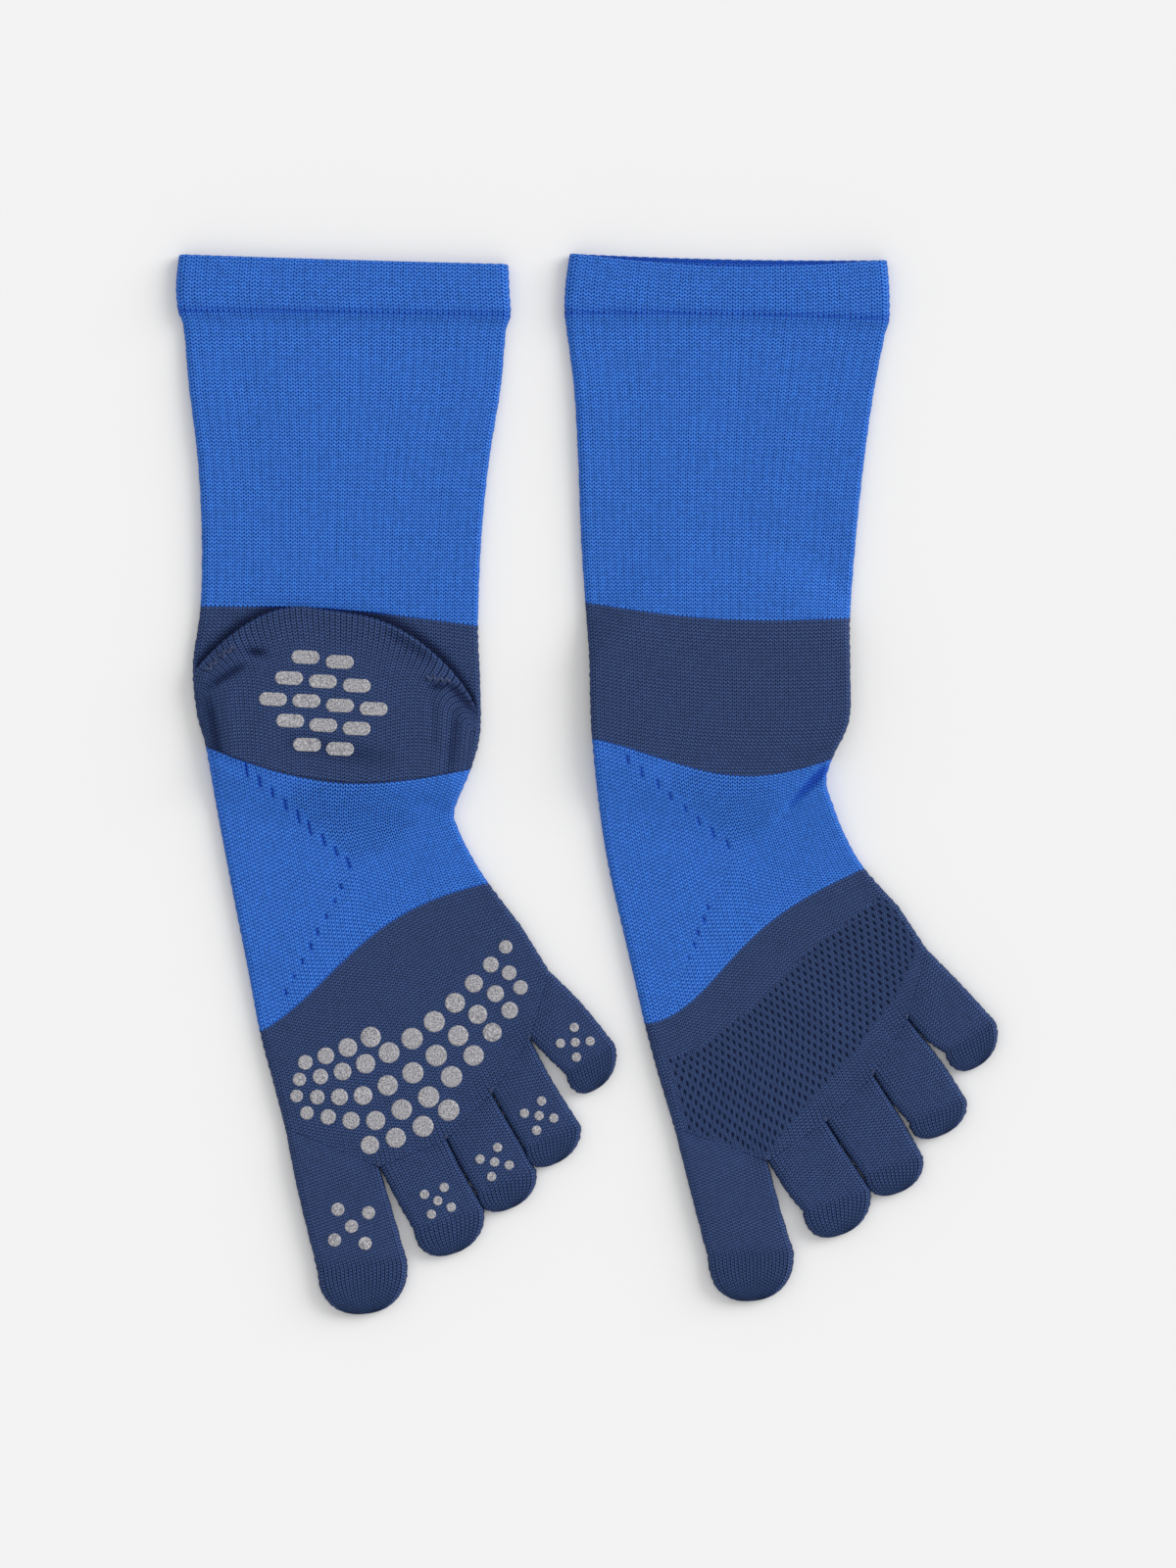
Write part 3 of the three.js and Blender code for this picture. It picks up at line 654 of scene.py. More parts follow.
def mark_ladders(sock, points, side):
    """Short ladders of dropped stitches along the gores, each one column of knitting wide. Their
    marks sink them as pits and give them painted shade.
    """
    hollow = np.zeros(side.shape)
    for ladder in sock.ladders:
        for k in range(ladder.count):
            t = (k + 0.5) / ladder.count
            x, y = lerp(ladder.x0, ladder.x1, t), lerp(ladder.y0, ladder.y1, t)
            far = np.hypot(points[..., 0] - x, points[..., 1] - y) + 100 * (side != 1)
            ring, column = np.unravel_index(far.argmin(), far.shape)
            length = ladder.length + 0.3 * math.sin(5 * k + ladder.x0)
            near = np.abs(points[:, column, 1] - points[ring, column, 1])
            mark = ladder.strength * ease((length - near) / 0.5)
            hollow[:, column] = np.maximum(hollow[:, column], mark)
    return hollow


def beside_gore(sock, x, y):
    """True on the toe side of the lower gore, where the courses run along the forefoot."""
    (ax, ay), (bx, by) = sock.apex, sock.gore_foot
    return (bx - ax) * (y - ay) - (by - ay) * (x - ax) > 0


def openwork_patch(sock, x, y, side):
    """The patch of larger holes on the upper face, beyond the gore that comes from the heel."""
    middle_x, middle_y, reach_x, reach_y = sock.openwork
    from_edge = 1 - ((x - middle_x) / reach_x) ** 2 - ((y - middle_y) / reach_y) ** 2
    gore = sock.ladders[0]
    slope = (sock.apex[1] - gore.y0) / (sock.apex[0] - gore.x0)
    beyond = y - (gore.y0 + slope * (x - gore.x0))
    strength = 1.0 if sock.heel_on_top else 0.45
    return ease(1.6 * from_edge) * ease((beyond - 1) / 4) * strength * (side == 1)


def gathers_at_roots(sock, x, y):
    """Drawn-in wales fan out from each gap between two toes."""
    gather = np.zeros_like(x)
    for gap in sock.roots[1:-1]:
        far = np.hypot(x - gap.x, y - gap.y)
        gather = np.maximum(gather, 0.7 * ease(1 - far / 10.0))
    return gather


def dress_ankle_band(sock, wall):
    """Tucks the band's upper face in along the fold of the pocket that lies on it, and paints shade
    there.
    """
    if sock.heel_on_top:
        beyond_fold = wall.y - heel_fold(sock.heel, heel_share(sock.heel, wall.x))[..., 1]
        tucked = np.exp(-((beyond_fold / 2.4) ** 2)) * (wall.side == 1)
        wall.points[..., 2] -= 0.25 * tucked
        # Painted shade along the pocket's fold
        wall.marks["hollow"] = 0.75 * tucked * (beyond_fold > -3)


def dress_arch(sock, wall):
    """Counts the arch's courses from both ends, and marks its ladders, openwork and gathers."""
    face_columns = WALES["arch"] * COLUMNS_PER_WALE + 1
    near = np.hypot(wall.x - sock.apex[0], wall.y - sock.apex[1])[:, :face_columns]
    apex_column = near.min(axis=0).argmin()
    u_apex = wall.u[0, apex_column]
    total = wall.run[-1]
    full = total[apex_column]
    scaled = np.where(wall.u > u_apex, wall.run / total * full, wall.run)
    wall.course = closed_column(scaled / COURSE_PITCH["arch"])
    wall.course_below = closed_column((full - (total - wall.run)) / COURSE_PITCH["arch"])
    wall.below_gore = beside_gore(sock, wall.x, wall.y) & (wall.u <= u_apex)
    wall.pits = mark_ladders(sock, wall.points, wall.side)
    # The ladders also get painted shade
    wall.marks["hollow"] = wall.pits
    wall.marks["openwork"] = openwork_patch(sock, wall.x, wall.y, wall.side)
    near_band = ease(1 - 4 * (wall.s - wall.s[0]))
    wall.marks["gather"] = 0.8 * near_band * ease((0.35 - wall.u) / 0.1)


def dress_forefoot(sock, wall):
    """Marks the airy mesh of the instep, with its pits, and the gathers at the toe roots."""
    airy = mesh_zone(wall.s, wall.u) * (wall.side == 1 - sock.sole_side)
    wall.pits = slit_pits(wall.wale[:, :-1], wall.course[:, :-1], airy)
    wall.marks["airy"] = airy
    wall.marks["gather"] = gathers_at_roots(sock, wall.x, wall.y)


DRESSING = {
    "ankle_band": dress_ankle_band,
    "arch": dress_arch,
    "forefoot": dress_forefoot,
}


def mark_welt(piece, wall):
    """Draws the wales in at the crease between the welt and the leg, and paints shade along it."""
    from_crease = wall.run - wall.run[-1] if piece == "cuff" else wall.run
    wall.marks["gather"] = 0.6 * np.exp(-((from_crease / 1.8) ** 2))
    # Painted shade along the crease
    wall.marks["hollow"] = 0.22 * np.exp(-(((from_crease + 0.2) / 0.8) ** 2))
    wall.marks["ribbed"][:] = RIBBED[piece]


def sink_folds(sock, wall, pit_depth):
    """Moves a face in and out by its creases, swells and pits. Deep creases also get painted shade.
    """
    upper, lower = both_faces(wall.side)
    soft = ripple(wall.x, wall.y, 38, 7) * 0.13 + ripple(wall.x, wall.y, 13, 11) * 0.05
    folds = crease_depth(sock.creases, wall.x, wall.y)
    inward = np.where(wall.side >= 0.5, -1.0, 1.0)
    wall.points[..., 2] += inward * wall.pits * pit_depth - (folds - soft) * upper
    wall.points[..., 2] += lower * (UNDER_LIFT + 0.5 * np.maximum(folds, 0) - 0.5 * soft)
    # Painted shade in the deep creases
    shade = 0.5 * ease((folds - 0.4) / 0.6) * upper
    wall.marks["hollow"] = np.maximum(wall.marks["hollow"], shade)


def rim_turn(inside, outside):
    """Rings that take the cloth over the rim, from its inner face to its outer one."""
    rings = []
    for k in range(1, RIM_STEPS + 1):
        angle = math.pi * k / (RIM_STEPS + 1)
        ring = lerp(inside, outside, (1 - math.cos(angle)) / 2)
        ring[:, 1] += RIM_HEIGHT * math.sin(angle)
        rings.append(ring)
    return np.array(rings)


def tube_piece(context, sock, piece, first, last, yarn):
    """One stretch of the tube as a closed wall: inner rings back to the start, then outer ones."""
    sizes = context.scene.toe_socks
    s0, s1 = course_number(sock, first), course_number(sock, last)
    wales_round = 2 * (WALES[piece] + TURN_WALES)
    outer, inner = tube_rings(sock, piece, s0, s1, sizes.facet * TO_MM)
    inner_points, inner_uv = inner_face(inner, wales_round, COURSE_PITCH[piece])
    wall = outer_face(outer, wales_round, COURSE_PITCH[piece])
    wall.s = stack(outer, "s")[:, None]
    wall.marks["changed"][:] = piece in CHANGED_YARN
    if piece in DRESSING:
        DRESSING[piece](sock, wall)
    sink_folds(sock, wall, sizes.pit_depth * TO_MM)
    if piece in RIBBED:
        mark_welt(piece, wall)
    wall.points = wave_edges(wall.points, wall.side, TUBE_SEED + s0, sizes.edge_bump * TO_MM)
    rim = np.zeros((0, *wall.points.shape[1:]))
    if s0 == 0:
        scallop = np.abs(np.cos(math.pi * wall.wale[:, :-1] / 2)) - 0.6
        wall.points[..., 1] += 0.3 * scallop * np.exp(-((wall.run / 1.3) ** 2))
        rim = rim_turn(inner_points[-1], wall.points[0])
    rings = np.concatenate([inner_points, rim, wall.points])
    outer_start = len(inner_points) + len(rim)
    outer_uv = np.stack([wall.wale, wall.course], -1)
    rim_uv = [outer_uv[0] - (0, 0.5 * (RIM_STEPS - k)) for k in range(len(rim))]
    rim_uv = np.reshape(rim_uv, (-1, *outer_uv.shape[1:]))
    uv = np.concatenate([inner_uv, rim_uv, outer_uv, outer_uv[-1:]])
    marks = behind(outer_start, wall.marks)
    crisp = [0, len(rings) - 1]
    if s0 == 0:
        # Painted shade on the inside of the rim
        marks["hollow"][len(inner_points) - 1 : outer_start - 1] = INSIDE_SHADE
    else:
        crisp += [outer_start - 1, outer_start]
    below = None
    if piece == "arch":
        other_uv, marked = uv.copy(), np.zeros((len(uv), rings.shape[1]), bool)
        other_uv[outer_start:-1, :, 1] = wall.course_below
        marked[outer_start:-2] = wall.below_gore[:-1]
        below = (other_uv, marked)
    name = f"{sock.name}_{piece}"
    made = mesh_object(name, rings, uv, None, marks, knit_material(context, yarn), crisp, below)
    declare(made, name)


def heel_length(sock):
    """Longest distance from the pocket's fold to its foot."""
    u = np.linspace(0, 1, 21)
    return np.linalg.norm(heel_fold(sock.heel, u) - heel_foot(sock, u), axis=1).max()


def heel_section(sock, u, rows, fanning):
    """A section through both layers of the pocket at share u: the fine face, the fold, the back."""
    heel = sock.heel
    rounding = ease(POCKET_END_START + min(u, 1 - u) / POCKET_END)
    thick = float(pocket_thickness(heel, u) * rounding)
    half = thick / 2
    fold, foot = heel_fold(heel, u), heel_foot(sock, u)
    length = np.linalg.norm(foot - fold)
    down = (foot - fold) / length
    reach = lerp(length - MEETING_GAP, half, np.linspace(0, 1, rows))
    back = reach[::-POCKET_BACK_STEP]
    angles = math.pi * np.arange(1, POCKET_TURN_STEPS) / POCKET_TURN_STEPS
    far = np.concatenate([reach, half - half * np.sin(angles), back])
    high = np.concatenate([np.full(rows, thick), half + half * np.cos(angles), np.zeros(len(back))])
    floor = FLAT + SEAM if sock.heel_on_top else 0
    level = high if sock.heel_on_top else thick - high
    fan = 1 - fanning * ease((0.45 - far / length) / 0.45)
    return SimpleNamespace(
        points=np.column_stack([fold + far[:, None] * down, floor + level]),
        wale=HEEL_WALES * (0.5 + (u - 0.5) * fan),
        run=np.where(high > half, far, -far),
        shown=high >= thick * 0.999,
    )


def heel_gather(share, near_fold):
    """How far the pocket's wales are drawn in: along its fold, and at the last sections."""
    gather = 0.7 * ease((near_fold - 0.74) / 0.26)
    gather = gather * ease((share - 0.05) / 0.06) * ease((0.97 - share) / 0.05)
    return np.maximum(gather, 0.25 * ease((share - 0.84) / 0.04))


def heel_piece(context, sock):
    """The folded heel pocket: sections from side to side through both of its layers."""
    sizes = context.scene.toe_socks
    length = heel_length(sock)
    columns = HEEL_WALES * COLUMNS_PER_WALE + 1
    shares = 0.5 - 0.5 * np.cos(math.pi * lerp(0.045, 0.955, np.linspace(0, 1, columns)))
    rows = int(length / (sizes.facet * TO_MM))
    sections = [heel_section(sock, u, rows, sizes.heel_fan)
                for u in (shares if sock.heel_on_top else shares[::-1])]
    points, wale, run, shown = (stack(sections, key) for key in ("points", "wale", "run", "shown"))
    face = points[:, :rows].copy()
    x, y = points[..., 0], points[..., 1]
    near_fold = np.clip(1 - np.abs(run) / length, 0, 1)
    marks = blank_marks(run.shape)
    marks["gather"] = heel_gather(shares[:, None], near_fold)
    ribs = np.cos(math.tau * wale) * 0.09 * marks["gather"]
    soft = ripple(x, y, 24, 5) * 0.14
    creases = crease_depth(sock.heel_creases, x, y)
    # Painted shade in the pocket's creases, pits and gore folds
    marks["hollow"] = np.clip(creases / 0.9, 0, 0.75) * shown
    if sock.heel_on_top:
        points[..., 2] += shown * (soft - ribs - creases)
    else:
        points[..., 2] += shown * (1.6 * UNDER_LIFT - 0.6 * soft + ribs + creases)
    uv = np.stack([closed_column(wale), closed_column(run / HEEL_COURSE_PITCH)], -1)
    poles = [points[0].mean(axis=0), points[-1].mean(axis=0)]
    name = f"{sock.name}_heel_pocket"
    made = mesh_object(name, points, uv, poles, marks, knit_material(context, "navy"))
    declare(made, name)


def toe_edges(sock, index, s):
    """Left and right ends of a toe's section: 0 at its root, 1 halfway, 2 at its round end."""
    toe = sock.toes[index]
    root = [*sock.root_points[index], *sock.root_points[index + 1]]
    ends = spline(np.array([root, toe[1:5], toe[5:9]]), s)
    return ends[:2], ends[2:]


def toe_ring(left, right, half, inset, middle, wales):
    """A toe's ring between two points of its outline."""
    breadth = np.linalg.norm(right - left)
    half = min(half, breadth / 2 - inset - 0.02)
    across, height, count = flat_section(wales, breadth, half, inset)
    u = across / breadth
    points = np.column_stack([left + u[:, None] * (right - left), middle + height])
    return SimpleNamespace(points=points, side=(height / half + 1) / 2, count=count, u=u)


def toe_wall(sock, index, cloth, wales, rings):
    """Rings of one toe pocket's outer or inner face, from its root to its closed end."""
    toe = sock.toes[index]
    tip = np.array([toe.tip_x, toe.tip_y])
    end_left, end_right = toe_edges(sock, index, 2)
    end_middle, half_end = (end_left + end_right) / 2, (end_right - end_left) / 2
    length = np.linalg.norm(tip - end_middle)
    away = (tip - end_middle) / length
    inset = cloth + TOE_GAP / 2
    made = []
    for s in np.linspace(0, 2, rings):
        left, right = toe_edges(sock, index, s)
        thick = lerp(FLAT, toe.thick, ease(s))
        push = away * MEETING_GAP if s == 0 else 0
        half = thick / 2 - cloth
        made.append(toe_ring(left + push, right + push, half, inset, thick / 2, wales))
    for k in range(1, TOE_TIP_RINGS):
        q = math.sin(math.pi / 2 * k / TOE_TIP_RINGS)
        share = (1 - q**TIP_POWER) ** (1 / TIP_POWER)
        half = (toe.thick / 2 - cloth) * math.sqrt(1 - q**4)
        middle = end_middle + away * q * (length - cloth)
        left, right = middle - half_end * share, middle + half_end * share
        made.append(toe_ring(left, right, half, inset * share, toe.thick / 2, wales))
    return made, np.array([*(end_middle + away * (length - cloth)), toe.thick / 2])


def dress_toe(sock, index, wall, rings, edge_bump):
    """Swells a toe, gathers its round end in ribs and lobes, and waves its edges."""
    count = len(wall.points)
    ring_number = np.arange(count)[:, None]
    end_start = rings * 0.82
    tip_share = np.clip((ring_number - end_start) / (count - end_start), 0, 1)
    before_tip = 1 - ease((ring_number - count + 6) / 6)
    upper, lower = both_faces(wall.side)
    crown = 1 - np.abs(2 * wall.u - 1) ** 3
    ribs = np.cos(math.tau * wall.wale[:, :-1]) * 0.11 * ease(3 * tip_share)
    soft = ripple(wall.x, wall.y, 17, 21 + index) * 0.1
    creases = crease_depth(sock.creases, wall.x, wall.y)
    swell = 0.28 * crown * ease(wall.run / 5) - creases + soft
    wall.points[..., 2] += upper * (swell - ribs) * before_tip
    wall.points[..., 2] += lower * (UNDER_LIFT + np.abs(ribs) * 0.5 + 0.5 * soft)
    wall.points = wave_edges(wall.points, wall.side, TOE_SEED + index, edge_bump)
    lobe = 0.1 * np.cos(math.tau * wall.run / 2.3) * ease(4 * tip_share)
    lobe = lobe * (1 - np.abs(2 * wall.side - 1)) * before_tip
    wall.points += outward_of(wall.points) * lobe[..., None]
    roots = 0.9 * gathers_at_roots(sock, wall.x, wall.y)
    wall.marks["gather"] = np.maximum(ease(2.2 * tip_share), roots)


def toe_piece(context, sock, index):
    """One toe pocket as a closed wall: the inner face from its tip back, then the outer one."""
    sizes = context.scene.toe_socks
    toe = sock.toes[index]
    left, right = sock.root_points[index : index + 2]
    wales = int(round(np.linalg.norm(right - left) / TOE_WALE_PITCH)) - 2
    wales_round = 2 * (wales + TURN_WALES)
    left_reach = math.hypot(toe.end_lx - left[0], toe.end_ly - left[1])
    right_reach = math.hypot(toe.end_rx - right[0], toe.end_ry - right[1])
    rings = int(max(left_reach, right_reach) / (sizes.facet * TO_MM)) + 2
    outer, outer_tip = toe_wall(sock, index, 0, wales, rings)
    inner, inner_tip = toe_wall(sock, index, CLOTH, wales, TOE_INNER_RINGS)
    inner_points, inner_uv = inner_face(inner[::-1], wales_round, 1.0)
    wall = outer_face(outer, wales_round, TOE_COURSE_PITCH)
    dress_toe(sock, index, wall, rings, sizes.edge_bump * TO_MM * 1.3)
    points = np.concatenate([inner_points, wall.points])
    uv = np.concatenate([inner_uv, np.stack([wall.wale, wall.course], -1)])
    marks = behind(len(inner_points), wall.marks)
    crisp = [len(inner_points) - 1, len(inner_points)]
    name = f"{sock.name}_{toe.at}"
    material = knit_material(context, "navy")
    made = mesh_object(name, points, uv, [inner_tip, outer_tip], marks, material, crisp)
    declare(made, name)


def wall_faces(rings, count, uv, closed, below):
    """Corners and UV of the faces between neighbouring rings."""
    rows = rings if closed else rings - 1
    i, j = np.meshgrid(np.arange(rows), np.arange(count), indexing="ij")
    i_next, j_next = (i + 1) % rings, (j + 1) % count
    corners = [(i, j), (i_next, j), (i_next, j_next), (i, j_next)]
    places = [(i, j), (i + 1, j), (i + 1, j + 1), (i, j + 1)]
    quads = np.stack([a * count + b for a, b in corners], -1).reshape(-1, 4)
    quad_uv = np.stack([uv[a, b] for a, b in places], -2)
    if below is not None:
        other_uv, marked = below
        other = np.stack([other_uv[a, b] for a, b in places], -2)
        quad_uv = np.where(marked[i, j][..., None, None], other, quad_uv)
    return quads, quad_uv.reshape(-1, 2)


def pole_faces(pole, ring, count, uv, turned):
    """Corners and UV of the triangles that close a ring to a point. turned swaps their sides."""
    j = np.arange(count)
    places, order = [j, j + 1], [j, (j + 1) % count]
    if turned:
        places, order = places[::-1], order[::-1]
    base = ring * count
    triangles = np.stack([np.full(count, pole), base + order[0], base + order[1]], -1)
    at = (uv[ring, j] + uv[ring, j + 1]) / 2
    return triangles, np.stack([at, uv[ring, places[0]], uv[ring, places[1]]], 1).reshape(-1, 2)


def fill_mesh(name, vertices, loops, sizes, loop_uv):
    """A mesh from its vertices in millimetres, and from its faces' corners and UV."""
    mesh = bpy.data.meshes.new(name)
    mesh.vertices.add(len(vertices))
    shifted = np.array(vertices, float)
    shifted[:, :2] += CENTRE
    mesh.vertices.foreach_set("co", (shifted * MM).astype(np.float32).ravel())
    mesh.loops.add(len(loops))
    mesh.loops.foreach_set("vertex_index", loops.astype(np.int32))
    mesh.polygons.add(len(sizes))
    starts = np.concatenate([[0], np.cumsum(sizes)[:-1]])
    mesh.polygons.foreach_set("loop_start", starts.astype(np.int32))
    mesh.polygons.foreach_set("use_smooth", np.ones(len(sizes), bool))
    layer = mesh.uv_layers.new(name="knit")
    layer.data.foreach_set("uv", loop_uv.astype(np.float32).ravel())
    return mesh


def mesh_object(node, points, uv, poles, marks, material, crisp=(), below=None):
    """A closed mesh through rings of points, with its marks and its stitch-counting UV map.

    Two poles close its ends to a point each, and without them the last ring joins the first.
    crisp lists the rings along which the cloth's cut edge turns sharply, and below holds a
    second UV grid with a mark for each of its points, taken by the faces that start there."""
    rings, count = points.shape[:2]
    quads, quad_uv = wall_faces(rings, count, uv, poles is None, below)
    vertices = points.reshape(-1, 3)
    loops, sizes, loop_uv = [quads.ravel()], [np.full(len(quads), 4)], [quad_uv]
    if poles is not None:
        first = len(vertices)
        vertices = np.concatenate([vertices, poles])
        for pole, ring, turned in ((first, 0, False), (first + 1, rings - 1, True)):
            triangles, triangle_uv = pole_faces(pole, ring, count, uv, turned)
            loops.append(triangles.ravel())
            sizes.append(np.full(count, 3))
            loop_uv.append(triangle_uv)
    name = node + "_knit"
    mesh = fill_mesh(name, vertices, *(np.concatenate(part) for part in (loops, sizes, loop_uv)))
    for key, values in marks.items():
        filled = np.zeros(len(vertices), np.float32)
        filled[: values.size] = values.ravel()
        mesh.attributes.new(key, "FLOAT", "POINT").data.foreach_set("value", filled)
    mesh.update(calc_edges=True)
    mesh.validate()
    ends = np.zeros(2 * len(mesh.edges), np.int32)
    mesh.edges.foreach_get("vertices", ends)
    ring_of = ends.reshape(-1, 2) // count
    sharp = (ring_of[:, 0] == ring_of[:, 1]) & np.isin(ring_of[:, 0], crisp)
    mesh.attributes.new("sharp_edge", "BOOLEAN", "EDGE").data.foreach_set("value", sharp)
    mesh.materials.append(material)
    piece = bpy.data.objects.new(name, mesh)
    bpy.context.scene.collection.objects.link(piece)
    return piece


def declare(piece, node):
    """Ties a piece to the frame and hides the model's part of the same name."""
    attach(piece, "root")
    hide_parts(node)


def linear(hex_colour):
    """An sRGB hex colour as linear red, green, blue and alpha."""
    channels = [int(hex_colour[i : i + 2], 16) / 255 for i in (1, 3, 5)]
    curve = [c / 12.92 if c <= 0.04045 else ((c + 0.055) / 1.055) ** 2.4 for c in channels]
    return (*curve, 1.0)


def add_node(tree, kind, inputs=(), **settings):
    """Adds a node. An input is a value, a socket, or a node whose first output it takes."""
    node = tree.nodes.new(kind)
    for key, value in settings.items():
        setattr(node, key, value)
    pairs = inputs.items() if isinstance(inputs, dict) else enumerate(inputs)
    for key, value in pairs:
        source = value.outputs[0] if isinstance(value, bpy.types.Node) else value
        if isinstance(source, bpy.types.NodeSocket):
            tree.links.new(source, node.inputs[key])
        elif source is not None:
            node.inputs[key].default_value = source
    return node


def calc(tree, operation, *inputs):
    return add_node(tree, "ShaderNodeMath", inputs, operation=operation)


def calc_vector(tree, operation, *inputs):
    return add_node(tree, "ShaderNodeVectorMath", inputs, operation=operation)


def blend(tree, value, start, end, low=0.0, high=1.0):
    """Goes softly from low to high while a value goes from start to end."""
    return add_node(
        tree, "ShaderNodeMapRange",
        {"Value": value, "From Min": start, "From Max": end, "To Min": low, "To Max": high},
        interpolation_type="SMOOTHSTEP",
    )


def read_mark(tree, key):
    return add_node(tree, "ShaderNodeAttribute", attribute_name=key).outputs["Fac"]


def noise(tree, place, grain, detail, **more):
    """Noise whose grains have about the given size in metres."""
    settings = {"Vector": place.outputs["Object"], "Scale": 1 / grain, "Detail": detail, **more}
    return add_node(tree, "ShaderNodeTexNoise", settings)


def new_material(name):
    """An empty material and its tree."""
    material = bpy.data.materials.new(name)
    material.use_nodes = True
    material.node_tree.nodes.clear()
    return material, material.node_tree


def finish_material(material, tree, looks):
    """Ends a material's tree in its one shader, with the given looks."""
    shader = add_node(tree, "ShaderNodeBsdfPrincipled", looks)
    add_node(tree, "ShaderNodeOutputMaterial", [shader])
    return material


def colour_ramp(tree, factor, stops):
    """Colours along a factor, from pairs of place and colour."""
    ramp = add_node(tree, "ShaderNodeValToRGB", [factor])
    elements = ramp.color_ramp.elements
    while len(elements) < len(stops):
        elements.new(0.5)
    for element, (place, colour) in zip(elements, stops):
        element.position = place
        element.color = colour
    return ramp


def airy_slits(tree, wale, course):
    """Dark slits of the airy mesh, on every second wale and shifted by one from row to row."""
    airy = read_mark(tree, "airy")
    from_row = calc(tree, "PINGPONG", course, MESH_ROW / 2)
    row = calc(tree, "ROUND", calc(tree, "DIVIDE", course, MESH_ROW))
    from_wale = calc(tree, "PINGPONG", calc(tree, "ADD", wale, row), 1.0)
    long = blend(tree, from_row, *SLIT_LENGTH, 1.0, 0.0)
    narrow = blend(tree, from_wale, *SLIT_WIDTH, 1.0, 0.0)
    return calc(tree, "MULTIPLY", calc(tree, "MULTIPLY", long, narrow), airy)


def stitch_pattern(tree):
    """Height of plain knitting from its UV map, with the count of wales and of slanted rows.

    Each stitch is a V of two fat arms. Small pits, which the colours paint dark as shade, stand
    between the arms, in staggered rows."""
    uv = add_node(tree, "ShaderNodeUVMap", uv_map="knit")
    split = add_node(tree, "ShaderNodeSeparateXYZ", [uv])
    wale, course = split.outputs[0], split.outputs[1]
    groove = calc(tree, "PINGPONG", wale, 0.5)
    arm = calc(tree, "PINGPONG", wale, 0.25)
    arm_round = blend(tree, arm, 0.0, 0.15)
    slant = calc(tree, "MULTIPLY_ADD", read_mark(tree, "airy"), AIRY_SLANT, SLANT)
    row = calc(tree, "MULTIPLY_ADD", groove, slant, course)
    strand = calc(tree, "PINGPONG", row, 0.5)
    strand_round = blend(tree, strand, 0.0, 0.4)
    arm_share = calc(tree, "MULTIPLY_ADD", arm_round, ARM_SWELL, STRAND_HEIGHT)
    body = calc(tree, "MULTIPLY_ADD", strand_round, arm_share, STRAND_BASE)
    no_arm = calc(tree, "SUBTRACT", 1.0, arm_round)
    no_strand = calc(tree, "SUBTRACT", 1.0, strand_round)
    pit = calc(tree, "MULTIPLY", no_arm, no_strand)
    pit_depth = calc(tree, "MULTIPLY_ADD", read_mark(tree, "openwork"), OPENWORK_DEPTH, PIT_DEPTH)
    ribbed = read_mark(tree, "ribbed")
    every_second = calc(tree, "PINGPONG", wale, 1.0)
    valley = blend(tree, every_second, 0.1, 0.75, 1.0, -0.6)
    rib = calc(tree, "MULTIPLY", valley, ribbed)
    stippled = calc(tree, "MULTIPLY_ADD", ribbed, *RIB_STIPPLE)
    deeper = calc(tree, "MULTIPLY_ADD", rib, VALLEY_STIPPLE, stippled)
    rib_depth = calc(tree, "MULTIPLY", pit_depth, deeper)
    column = blend(tree, groove, 0.0, 0.15, GROOVE_DEPTH, 0.0)
    shallow = calc(tree, "MULTIPLY_ADD", ribbed, *RIB_GROOVE)
    rib_column = calc(tree, "MULTIPLY", column, shallow)
    columned = calc(tree, "ADD", body, rib_column)
    rounded = calc(tree, "MULTIPLY_ADD", rib, VALLEY_DEPTH, columned)
    slit = airy_slits(tree, wale, course)
    slitted = calc(tree, "MULTIPLY_ADD", slit, SLIT_DEPTH, rounded)
    pitted = calc(tree, "MULTIPLY_ADD", pit, rib_depth, slitted)
    seam = blend(tree, groove, 0.0, 0.2, GATHER_DEPTH, 0.0)
    gathered = calc(tree, "MULTIPLY_ADD", seam, read_mark(tree, "gather"), pitted)
    # Painted shade: marked places drop towards the dark gap colour
    hollow = read_mark(tree, "hollow")
    return calc(tree, "MULTIPLY_ADD", hollow, PAINTED_SHADE_DEPTH, gathered), wale, row


def yarn_colours(tree, height, yarn, shade):
    """A yarn's colours from the bottom of a pit, in painted shade, to the crown of a strand, with a
    painted highlight.
    """
    _, gap, _, light = YARNS[yarn]
    stops = [(0.0, linear(gap)), (0.42, (*shade, 1.0)), (1.0, linear(light))]
    return colour_ramp(tree, height, stops)


